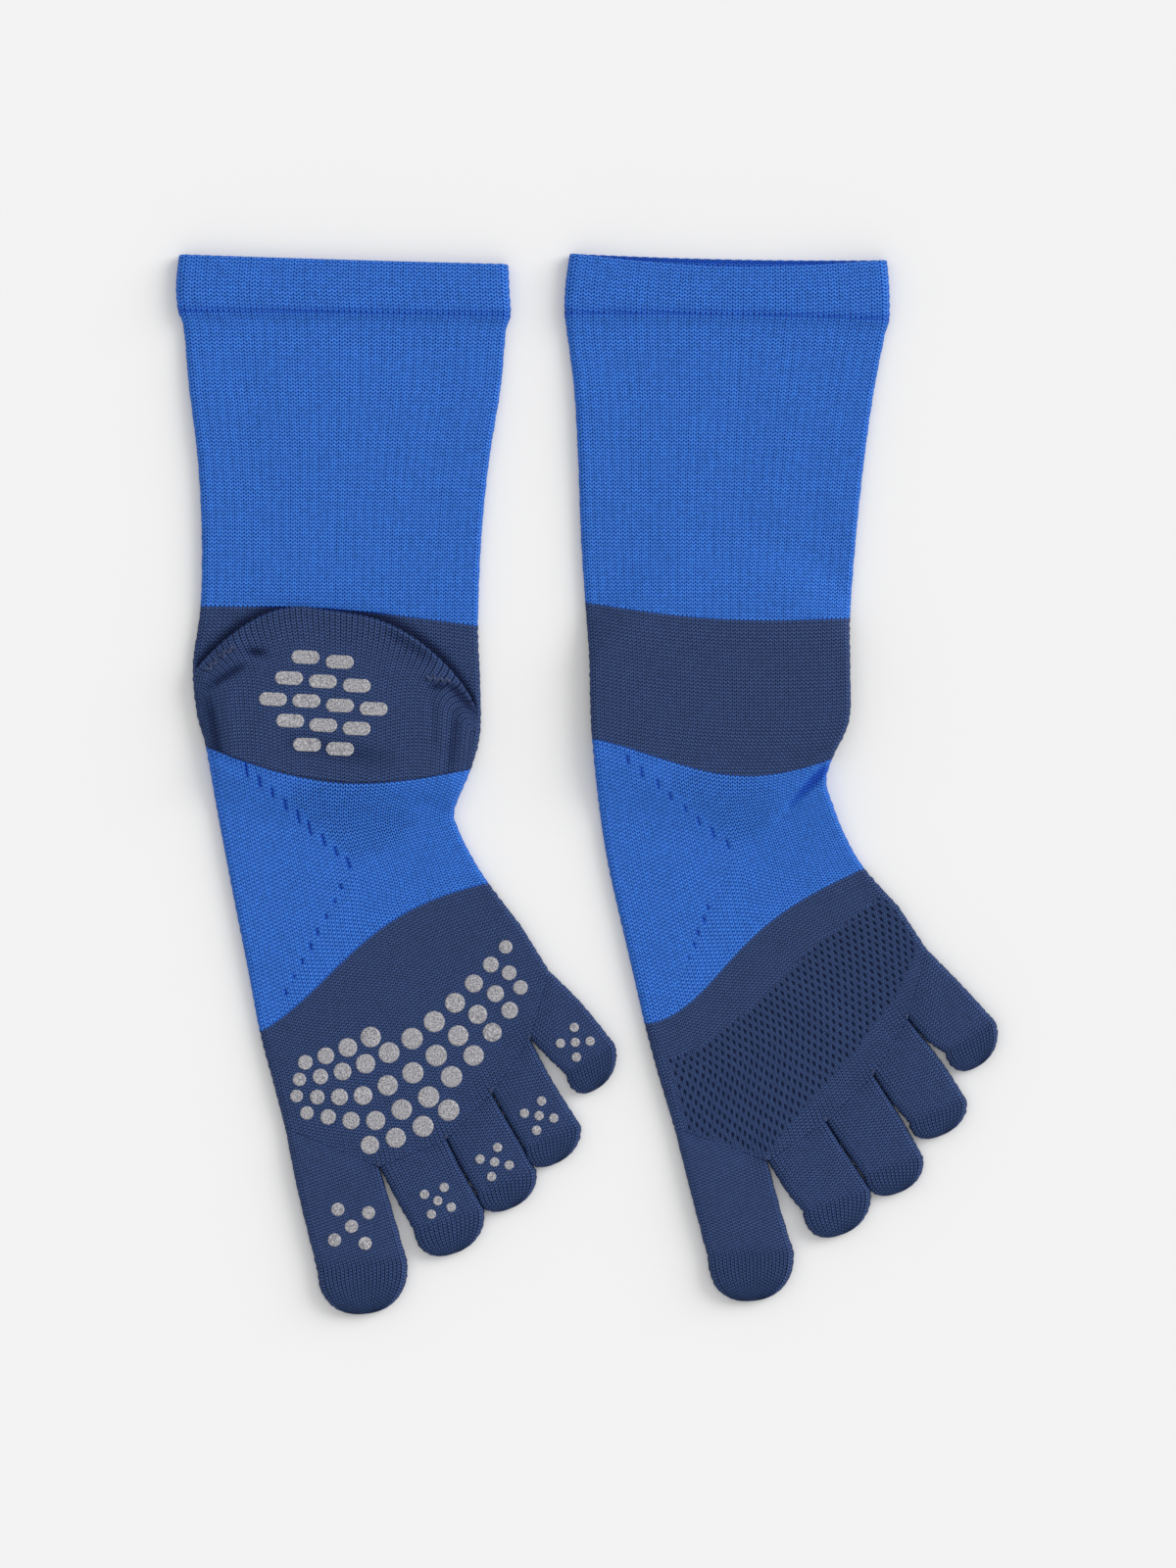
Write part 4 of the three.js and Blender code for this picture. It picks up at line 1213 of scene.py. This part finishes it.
def knit_material(context, yarn):
    """Nylon filament yarn in plain knitting.

    The eye sees rows of small Vs with pits between their arms, which the colours paint dark as shade
    while the strands' crowns get a painted highlight, stitches that differ a little in brightness,
    and a slight silky sheen. Where the yarn changes, the last row of the other one still shows as
    teeth."""
    title = YARNS[yarn][0]
    if title in bpy.data.materials:
        return bpy.data.materials[title]
    sizes = context.scene.toe_socks
    material, tree = new_material(title)
    height, wale, row = stitch_pattern(tree)
    shades = {"blue": sizes.blue, "navy": sizes.navy}
    other = "navy" if yarn == "blue" else "blue"
    own = yarn_colours(tree, height, yarn, shades[yarn])
    before = yarn_colours(tree, height, other, shades[other])
    in_last_row = calc(tree, "LESS_THAN", row, 0.0)
    still_other = calc(tree, "MULTIPLY", in_last_row, read_mark(tree, "changed"))
    colour = add_node(
        tree, "ShaderNodeMix", {"Factor": still_other, "A": own, "B": before}, data_type="RGBA",
    )
    arm_number = calc(tree, "FLOOR", calc(tree, "MULTIPLY", wale, 2.0))
    row_number = calc(tree, "FLOOR", row)
    stitch = add_node(tree, "ShaderNodeCombineXYZ", [arm_number, row_number])
    luck = add_node(tree, "ShaderNodeTexWhiteNoise", {"Vector": stitch}, noise_dimensions="2D")
    place = add_node(tree, "ShaderNodeTexCoord")
    unevenness = noise(tree, place, 0.019, 4.0)
    strands = noise(tree, place, 0.0007, 2.0)
    wide = calc(tree, "MULTIPLY_ADD", unevenness, 0.3, luck.outputs["Value"])
    both = calc(tree, "MULTIPLY_ADD", strands, 0.8, wide)
    value = add_node(
        tree, "ShaderNodeMapRange",
        {"Value": both, "From Min": 0.3, "From Max": 1.8, "To Min": 0.82, "To Max": 1.18},
    )
    varied = add_node(
        tree, "ShaderNodeHueSaturation", {"Color": colour.outputs["Result"], "Value": value},
    )
    fibre = calc(tree, "MULTIPLY_ADD", strands, 0.3, height)
    relief = {"Height": fibre, "Distance": sizes.stitch_relief, "Strength": 1.0}
    return finish_material(material, tree, {
        "Base Color": varied,
        "Roughness": 0.62,
        "IOR": 1.53,
        "Specular IOR Level": 0.12,
        "Sheen Weight": 0.04,
        "Sheen Roughness": 0.4,
        "Sheen Tint": linear(YARNS[yarn][3]),
        "Normal": add_node(tree, "ShaderNodeBump", relief),
    })


def yarn_material(yarn):
    """A single strand of nylon yarn, with the twist and fuzz of its filaments."""
    title, gap, middle, light = YARNS[yarn]
    material, tree = new_material(title + "_strand")
    place = add_node(tree, "ShaderNodeTexCoord")
    twist = noise(tree, place, 0.0006, 2.0)
    stops = [(0.25, linear(gap)), (0.5, linear(middle)), (0.8, linear(light))]
    return finish_material(material, tree, {
        "Base Color": colour_ramp(tree, twist, stops),
        "Roughness": 0.65,
        "IOR": 1.53,
        "Sheen Weight": 0.2,
        "Sheen Roughness": 0.4,
        "Normal": add_node(tree, "ShaderNodeBump", {"Height": twist, "Distance": 0.00012}),
    })


def grip_material(context):
    """Printed silicone with metallic powder: matt warm grey, with dark and light specks in its
    grain's colour, the light ones a painted sparkle.
    """
    material, tree = new_material("printed_silicone_grey")
    place = add_node(tree, "ShaderNodeTexCoord")
    grain = noise(tree, place, 0.0004, 2.0, Roughness=0.6)
    middle = (*context.scene.toe_socks.grip, 1.0)
    # Grain tone, with its light specks as the powder's painted sparkle
    stops = [(0.33, linear("#5f5e66")), (0.5, middle), (0.66, linear("#c6c4c6"))]
    return finish_material(material, tree, {
        "Base Color": colour_ramp(tree, grain, stops),
        "Roughness": 0.5,
        "IOR": 1.43,
        "Normal": add_node(tree, "ShaderNodeBump", {"Height": grain, "Distance": 0.00015}),
    })


def pad_tree():
    """Geometry nodes that lay a flat-topped pad on the surface beneath each place.

    A ball stands at each place. Its points move apart to the pad's plan, fall on the cloth along
    a ray or else to its nearest point, and rise again as far as the ball's upper half is high."""
    title = "pads_on_cloth"
    if title in bpy.data.node_groups:
        return bpy.data.node_groups[title]
    tree = bpy.data.node_groups.new(title, "GeometryNodeTree")
    given_kinds = {"Places": "Geometry", "Cloth": "Object", "Height": "Float",
                   "Facing": "Vector", "Finish": "Material"}
    for label, kind in given_kinds.items():
        tree.interface.new_socket(label, in_out="INPUT", socket_type="NodeSocket" + kind)
    tree.interface.new_socket("Pads", in_out="OUTPUT", socket_type="NodeSocketGeometry")
    given = add_node(tree, "NodeGroupInput").outputs
    facing = given["Facing"]
    ball = add_node(
        tree, "GeometryNodeMeshUVSphere", {"Segments": 24, "Rings": 8, "Radius": 0.5 * MM},
    )
    position = add_node(tree, "GeometryNodeInputPosition")
    kept = add_node(
        tree, "GeometryNodeStoreNamedAttribute",
        {"Geometry": ball, "Name": "local", "Value": position},
        data_type="FLOAT_VECTOR", domain="POINT",
    )
    placed = add_node(
        tree, "GeometryNodeInstanceOnPoints", {"Points": given["Places"], "Instance": kept},
    )
    real = add_node(tree, "GeometryNodeRealizeInstances", [placed])
    local, length, width, angle = (
        add_node(tree, "GeometryNodeInputNamedAttribute", {"Name": key}, data_type=kind)
        for key, kind in PAD_ATTRIBUTES.items()
    )
    centre = calc_vector(tree, "SUBTRACT", position, local)
    parts = add_node(tree, "ShaderNodeSeparateXYZ", [local]).outputs
    way = calc(tree, "SIGN", parts[0])
    half_spare = calc(tree, "MULTIPLY", calc(tree, "SUBTRACT", length, width), 0.5 * MM)
    shift = calc(tree, "MULTIPLY", way, half_spare)
    along = calc(tree, "MULTIPLY_ADD", parts[0], width, shift)
    beside = calc(tree, "MULTIPLY", parts[1], width)
    plan = add_node(tree, "ShaderNodeCombineXYZ", [along, beside])
    turned = add_node(
        tree, "ShaderNodeVectorRotate", {"Vector": plan, "Angle": angle}, rotation_type="Z_AXIS",
    )
    over = calc_vector(tree, "ADD", centre, turned)
    far = calc_vector(tree, "MULTIPLY", facing, (RAY_START,) * 3)
    start = calc_vector(tree, "ADD", over, far)
    ray = calc_vector(tree, "MULTIPLY", facing, (-1, -1, -1))
    cloth = add_node(tree, "GeometryNodeObjectInfo", {"Object": given["Cloth"]}).outputs["Geometry"]
    hit = add_node(tree, "GeometryNodeRaycast", {
        "Target Geometry": cloth,
        "Source Position": start,
        "Ray Direction": ray,
        "Ray Length": RAY_LENGTH,
    })
    level = calc(tree, "MULTIPLY", parts[2], PAD_STEEPNESS / MM)
    top = calc(tree, "MINIMUM", calc(tree, "MAXIMUM", level, -1.0), 1.0)
    rise = calc(tree, "MULTIPLY", top, given["Height"])
    raised = add_node(tree, "ShaderNodeVectorMath", {0: facing, "Scale": rise}, operation="SCALE")
    close = add_node(
        tree, "ShaderNodeVectorMath", {0: facing, "Scale": NEAR_START}, operation="SCALE",
    )
    above = calc_vector(tree, "ADD", over, close)
    nearest = add_node(
        tree, "GeometryNodeProximity", {"Geometry": cloth, "Sample Position": above},
    )
    ground = add_node(tree, "GeometryNodeSwitch", {
        "Switch": hit.outputs["Is Hit"],
        "False": nearest.outputs["Position"],
        "True": hit.outputs["Hit Position"],
    }, input_type="VECTOR")
    final = calc_vector(tree, "ADD", ground, raised)
    moved = add_node(tree, "GeometryNodeSetPosition", {"Geometry": real, "Position": final})
    joined = add_node(tree, "GeometryNodeRealizeInstances", [moved])
    finished = add_node(
        tree, "GeometryNodeSetMaterial", {"Geometry": joined, "Material": given["Finish"]},
    )
    add_node(tree, "NodeGroupOutput", [finished])
    return tree


def lay_pads(name, places, cloth, height, facing, material):
    """Runs the pad tree over places of x, y, length, width and angle, and keeps a plain mesh."""
    mesh = bpy.data.meshes.new(name + "_places")
    values = np.array(places, float)
    points = np.zeros((len(values), 3))
    points[:, :2] = (values[:, :2] + CENTRE) * MM
    mesh.from_pydata(points.tolist(), [], [])
    for key, column in (("length", 2), ("width", 3), ("angle", 4)):
        layer = mesh.attributes.new(key, "FLOAT", "POINT")
        layer.data.foreach_set("value", values[:, column].astype(np.float32))
    piece = bpy.data.objects.new(name, mesh)
    bpy.context.scene.collection.objects.link(piece)
    modifier = piece.modifiers.new("pads", "NODES")
    modifier.node_group = pad_tree()
    settings = {"Cloth": cloth, "Height": height * MM, "Facing": facing, "Finish": material}
    for item in modifier.node_group.interface.items_tree:
        if item.name in settings:
            modifier[item.identifier] = settings[item.name]
    graph = bpy.context.evaluated_depsgraph_get()
    graph.update()
    real = bpy.data.meshes.new_from_object(piece.evaluated_get(graph))
    piece.modifiers.clear()
    piece.data = real
    bpy.data.meshes.remove(mesh)
    for key in PAD_ATTRIBUTES:
        if key in real.attributes:
            real.attributes.remove(real.attributes[key])
    real.shade_smooth()
    if not real.polygons:
        raise RuntimeError(name + " has no pads")
    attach(piece, "root")


def spaced(places):
    """Drops each pad that would touch one already laid."""
    kept = []
    for place in places:
        x, y, length = place[:3]
        if all(math.hypot(x - k[0], y - k[1]) > (length + k[2]) / 2 + 0.5 for k in kept):
            kept.append(place)
    return kept


def ball_places(sock):
    """Rows of round pads over the ball of the foot, smaller towards the ends of each row."""
    places = []
    for s, start, end in BALL_ROWS:
        ends = course_point(sock, s, np.array([start, end]), np.ones(2))
        breadth = np.linalg.norm(ends[1] - ends[0]) / (end - start)
        u = start
        while u < end:
            size = BALL_PAD * (0.5 + 0.5 * math.sin(math.pi * u))
            x, y = course_point(sock, s, np.array([u]), np.ones(1))[0]
            places.append((x, y, size, size, 0.0))
            u += (size + BALL_PAD_SPACE) / breadth
    return spaced(places)


def heel_places(sock):
    """Rows of level dashes that fill an oval under the heel."""
    places = []
    for down, dashes in HEEL_ROWS:
        for k in range(dashes):
            share = HEEL_PRINT_MIDDLE + (k - (dashes - 1) / 2) * HEEL_DASH_STEP
            x, y = lerp(heel_fold(sock.heel, share), heel_foot(sock, share), down)
            places.append((x, y, *HEEL_DASH))
    return places


def toe_places(sock, index):
    """Five small round pads under each toe, one in the middle of four."""
    left, right = toe_edges(sock, index, 1.35)
    across = (right - left) / np.linalg.norm(right - left)
    along = np.array([across[1], -across[0]])
    size, reach = BIG_TOE_PADS if index == 0 else TOE_PADS
    places = []
    for a, b in ((0, 0), (-1, -1), (1, -1), (-1, 1), (1, 1)):
        x, y = (left + right) / 2 + across * a * reach + along * b * reach
        places.append((x, y, size, size, 0.0))
    return places


def gore_places(points, step, size):
    """Short strands that cross one another along a path, as in a gore's joined stitches."""
    places = []
    for (x0, y0), (x1, y1) in zip(points[:-1], points[1:]):
        length = math.hypot(x1 - x0, y1 - y0)
        along = math.atan2(y1 - y0, x1 - x0)
        for k in range(int(length / step)):
            t = (k + 0.5) * step / length
            turn = along + (0.9 if k % 2 else -0.9)
            places.append((lerp(x0, x1, t), lerp(y0, y1, t), size * 2.4, size, turn))
    return places


class ToeSockProperties(bpy.types.PropertyGroup):
    """Sizes and colours of the pair."""

    facet: bpy.props.FloatProperty(
        name="Facet", description="Length of a facet along the knitting",
        default=0.00055, min=0.0003, max=0.004, unit="LENGTH",
    )
    edge_bump: bpy.props.FloatProperty(
        name="Edge bumps", description="Height of the yarn's bumps along the folded edges",
        default=0.00009, min=0.0, max=0.001, unit="LENGTH",
    )
    pit_depth: bpy.props.FloatProperty(
        name="Mesh pits", description="Depth of the pits in the airy mesh and in the ladders",
        default=0.0004, min=0.0, max=0.001, unit="LENGTH",
    )
    stitch_relief: bpy.props.FloatProperty(
        name="Stitch relief", description="Height of a stitch's strands over the pits between them",
        default=0.00028, min=0.0, max=0.001, unit="LENGTH",
    )
    heel_fan: bpy.props.FloatProperty(
        name="Heel fan", description="How much the wales fan out towards the heel's fold",
        default=0.16, min=0.0, max=0.5,
    )
    pad_height: bpy.props.FloatProperty(
        name="Grip height", description="How far the printed pads stand on the knitting",
        default=0.00014, min=0.0, max=0.001, unit="LENGTH",
    )
    blue: bpy.props.FloatVectorProperty(
        name="Blue yarn", description="Colour of the leg and the arch",
        default=linear(YARNS["blue"][2])[:3], min=0, max=1, subtype="COLOR",
    )
    navy: bpy.props.FloatVectorProperty(
        name="Navy yarn", description="Colour of the ankle band, heel, forefoot and toes",
        default=linear(YARNS["navy"][2])[:3], min=0, max=1, subtype="COLOR",
    )
    grip: bpy.props.FloatVectorProperty(
        name="Grip print", description="Colour of the printed pads",
        default=linear("#96959b")[:3], min=0, max=1, subtype="COLOR",
    )
    floor: bpy.props.FloatVectorProperty(
        name="Floor", description="Colour of the surface that the socks lie on",
        default=linear("#efefef")[:3], min=0, max=1, subtype="COLOR",
    )


class SockOperator:
    """What the operators share: their place in the undo history."""

    bl_options = {"REGISTER", "UNDO"}


def knit_stretch(context, piece):
    """Knits one stretch of the tube on both socks."""
    for sock in SOCKS:
        tube_piece(context, sock, piece, *STRETCHES[piece])
    return {"FINISHED"}


class TOESOCKS_OT_cuff(SockOperator, bpy.types.Operator):
    """Knits the doubled cuffs of both socks"""

    bl_idname = "toe_socks.cuff"
    bl_label = "Knit the cuffs"

    def execute(self, context):
        return knit_stretch(context, "cuff")


class TOESOCKS_OT_leg(SockOperator, bpy.types.Operator):
    """Knits the short ribbed legs of both socks"""

    bl_idname = "toe_socks.leg"
    bl_label = "Knit the legs"

    def execute(self, context):
        return knit_stretch(context, "leg")


class TOESOCKS_OT_ankle_band(SockOperator, bpy.types.Operator):
    """Knits the navy bands round both ankles"""

    bl_idname = "toe_socks.ankle_band"
    bl_label = "Knit the ankle bands"

    def execute(self, context):
        return knit_stretch(context, "ankle_band")


class TOESOCKS_OT_arch(SockOperator, bpy.types.Operator):
    """Knits the arches with their gores of dropped stitches"""

    bl_idname = "toe_socks.arch"
    bl_label = "Knit the arches"

    def execute(self, context):
        return knit_stretch(context, "arch")


class TOESOCKS_OT_forefoot(SockOperator, bpy.types.Operator):
    """Knits the forefeet with the airy mesh over the instep"""

    bl_idname = "toe_socks.forefoot"
    bl_label = "Knit the forefeet"

    def execute(self, context):
        return knit_stretch(context, "forefoot")


class TOESOCKS_OT_heel_pockets(SockOperator, bpy.types.Operator):
    """Knits the folded heel pockets, one on top and one beneath"""

    bl_idname = "toe_socks.heel_pockets"
    bl_label = "Knit the heel pockets"

    def execute(self, context):
        for sock in SOCKS:
            heel_piece(context, sock)
        return {"FINISHED"}


class TOESOCKS_OT_toes(SockOperator, bpy.types.Operator):
    """Knits the ten toe pockets"""

    bl_idname = "toe_socks.toes"
    bl_label = "Knit the toes"

    def execute(self, context):
        for sock in SOCKS:
            for index in range(len(sock.toes)):
                toe_piece(context, sock, index)
        return {"FINISHED"}


class TOESOCKS_OT_grips(SockOperator, bpy.types.Operator):
    """Prints the grip pads on both soles"""

    bl_idname = "toe_socks.grips"
    bl_label = "Print the grips"

    def execute(self, context):
        height = context.scene.toe_socks.pad_height * TO_MM
        finish = grip_material(context)
        for sock in SOCKS:
            facing = (0, 0, 1) if sock.sole_side else (0, 0, -1)
            jobs = [("forefoot", ball_places(sock)), ("heel_pocket", heel_places(sock))]
            jobs += [(toe.at, toe_places(sock, i)) for i, toe in enumerate(sock.toes)]
            for piece, places in jobs:
                cloth = bpy.data.objects[f"{sock.name}_{piece}_knit"]
                name = f"{sock.name}_{piece}_grips"
                lay_pads(name, places, cloth, height, facing, finish)
        return {"FINISHED"}


class TOESOCKS_OT_gore_stitches(SockOperator, bpy.types.Operator):
    """Adds the crossed strands along the heel's gores and the knots between the toes"""

    bl_idname = "toe_socks.gore_stitches"
    bl_label = "Join the gores"

    def execute(self, context):
        finish = yarn_material("navy")
        up = (0, 0, 1)
        strands = [place for path in GORE_STRANDS for place in gore_places(*path)]
        cloth = bpy.data.objects["right_sock_heel_pocket_knit"]
        name = "right_sock_gore_stitches"
        lay_pads(name, strands, cloth, GORE_STRAND_HEIGHT, up, finish)
        for sock in SOCKS:
            cloth = bpy.data.objects[f"{sock.name}_forefoot_knit"]
            knots = [(*(point + KNOT_PLACE), *KNOT) for point in sock.root_points[1:-1]]
            lay_pads(f"{sock.name}_toe_knots", knots, cloth, KNOT_HEIGHT, up, finish)
        return {"FINISHED"}


class TOESOCKS_OT_stage(SockOperator, bpy.types.Operator):
    """Sets the pale floor, the soft light and the camera straight above"""

    bl_idname = "toe_socks.stage"
    bl_label = "Set the stage"

    def execute(self, context):
        scene = context.scene
        add_floor(scene)
        add_sun(scene)
        add_sky(scene)
        add_camera(scene)
        scene.view_settings.view_transform = "Standard"
        return {"FINISHED"}


def add_floor(scene):
    """The matt pale surface beneath the pair."""
    mesh = bpy.data.meshes.new("floor")
    corners = [(x * FLOOR_REACH, y * FLOOR_REACH, 0) for x, y in ((-1, -1), (1, -1), (1, 1), (-1, 1))]
    mesh.from_pydata(corners, [], [(0, 1, 2, 3)])
    floor = bpy.data.objects.new("floor", mesh)
    scene.collection.objects.link(floor)
    material, tree = new_material("matt_paper_backdrop")
    mesh.materials.append(finish_material(material, tree, {
        "Base Color": (*scene.toe_socks.floor, 1.0),
        "Roughness": 0.9,
        "Specular IOR Level": 0.1,
    }))
    return floor


def add_sun(scene):
    """A broad and far soft light, whose rays run evenly from its place towards the pair."""
    light = bpy.data.lights.new("softbox", "SUN")
    light.angle = math.radians(SUN_SPREAD)
    light.energy = SUN_POWER
    lamp = bpy.data.objects.new("softbox", light)
    scene.collection.objects.link(lamp)
    lamp.location = SUN_PLACE
    x, y, z = SUN_PLACE
    lamp.rotation_euler = (math.atan2(math.hypot(x, y), z), 0, math.atan2(y, x) + math.pi / 2)


def add_sky(scene):
    """Even white light from all sides."""
    world = bpy.data.worlds.new("studio")
    scene.world = world
    world.use_nodes = True
    world.node_tree.nodes.clear()
    looks = {"Color": (1, 1, 1, 1), "Strength": SKY_POWER}
    sky = add_node(world.node_tree, "ShaderNodeBackground", looks)
    add_node(world.node_tree, "ShaderNodeOutputWorld", [sky])


def add_camera(scene):
    """A long lens straight above, with the frame's long side as the sensor's width."""
    data = bpy.data.cameras.new("camera")
    data.sensor_width = SENSOR
    data.lens = SENSOR * CAMERA_HEIGHT / FRAME_HEIGHT
    camera = bpy.data.objects.new("camera", data)
    scene.collection.objects.link(camera)
    camera.location = (CENTRE[0] * MM, CENTRE[1] * MM, CAMERA_HEIGHT)
    scene.camera = camera


OPERATORS = (
    TOESOCKS_OT_cuff,
    TOESOCKS_OT_leg,
    TOESOCKS_OT_ankle_band,
    TOESOCKS_OT_arch,
    TOESOCKS_OT_forefoot,
    TOESOCKS_OT_heel_pockets,
    TOESOCKS_OT_toes,
    TOESOCKS_OT_grips,
    TOESOCKS_OT_gore_stitches,
    TOESOCKS_OT_stage,
)


class TOESOCKS_PT_panel(bpy.types.Panel):
    """The pair's sizes, colours and pieces"""

    bl_label = "Toe Socks"
    bl_space_type = "VIEW_3D"
    bl_region_type = "UI"
    bl_category = "Toe Socks"

    def draw(self, context):
        for key in ToeSockProperties.__annotations__:
            self.layout.prop(context.scene.toe_socks, key)
        for operator in OPERATORS:
            self.layout.operator(operator.bl_idname)


CLASSES = (ToeSockProperties, *OPERATORS, TOESOCKS_PT_panel)


def register():
    for each in CLASSES:
        bpy.utils.register_class(each)
    bpy.types.Scene.toe_socks = bpy.props.PointerProperty(type=ToeSockProperties)


def unregister():
    del bpy.types.Scene.toe_socks
    for each in reversed(CLASSES):
        bpy.utils.unregister_class(each)


def main():
    register()
    for operator in OPERATORS:
        group, name = operator.bl_idname.split(".")
        getattr(getattr(bpy.ops, group), name)()


if __name__ == "__main__":
    main()
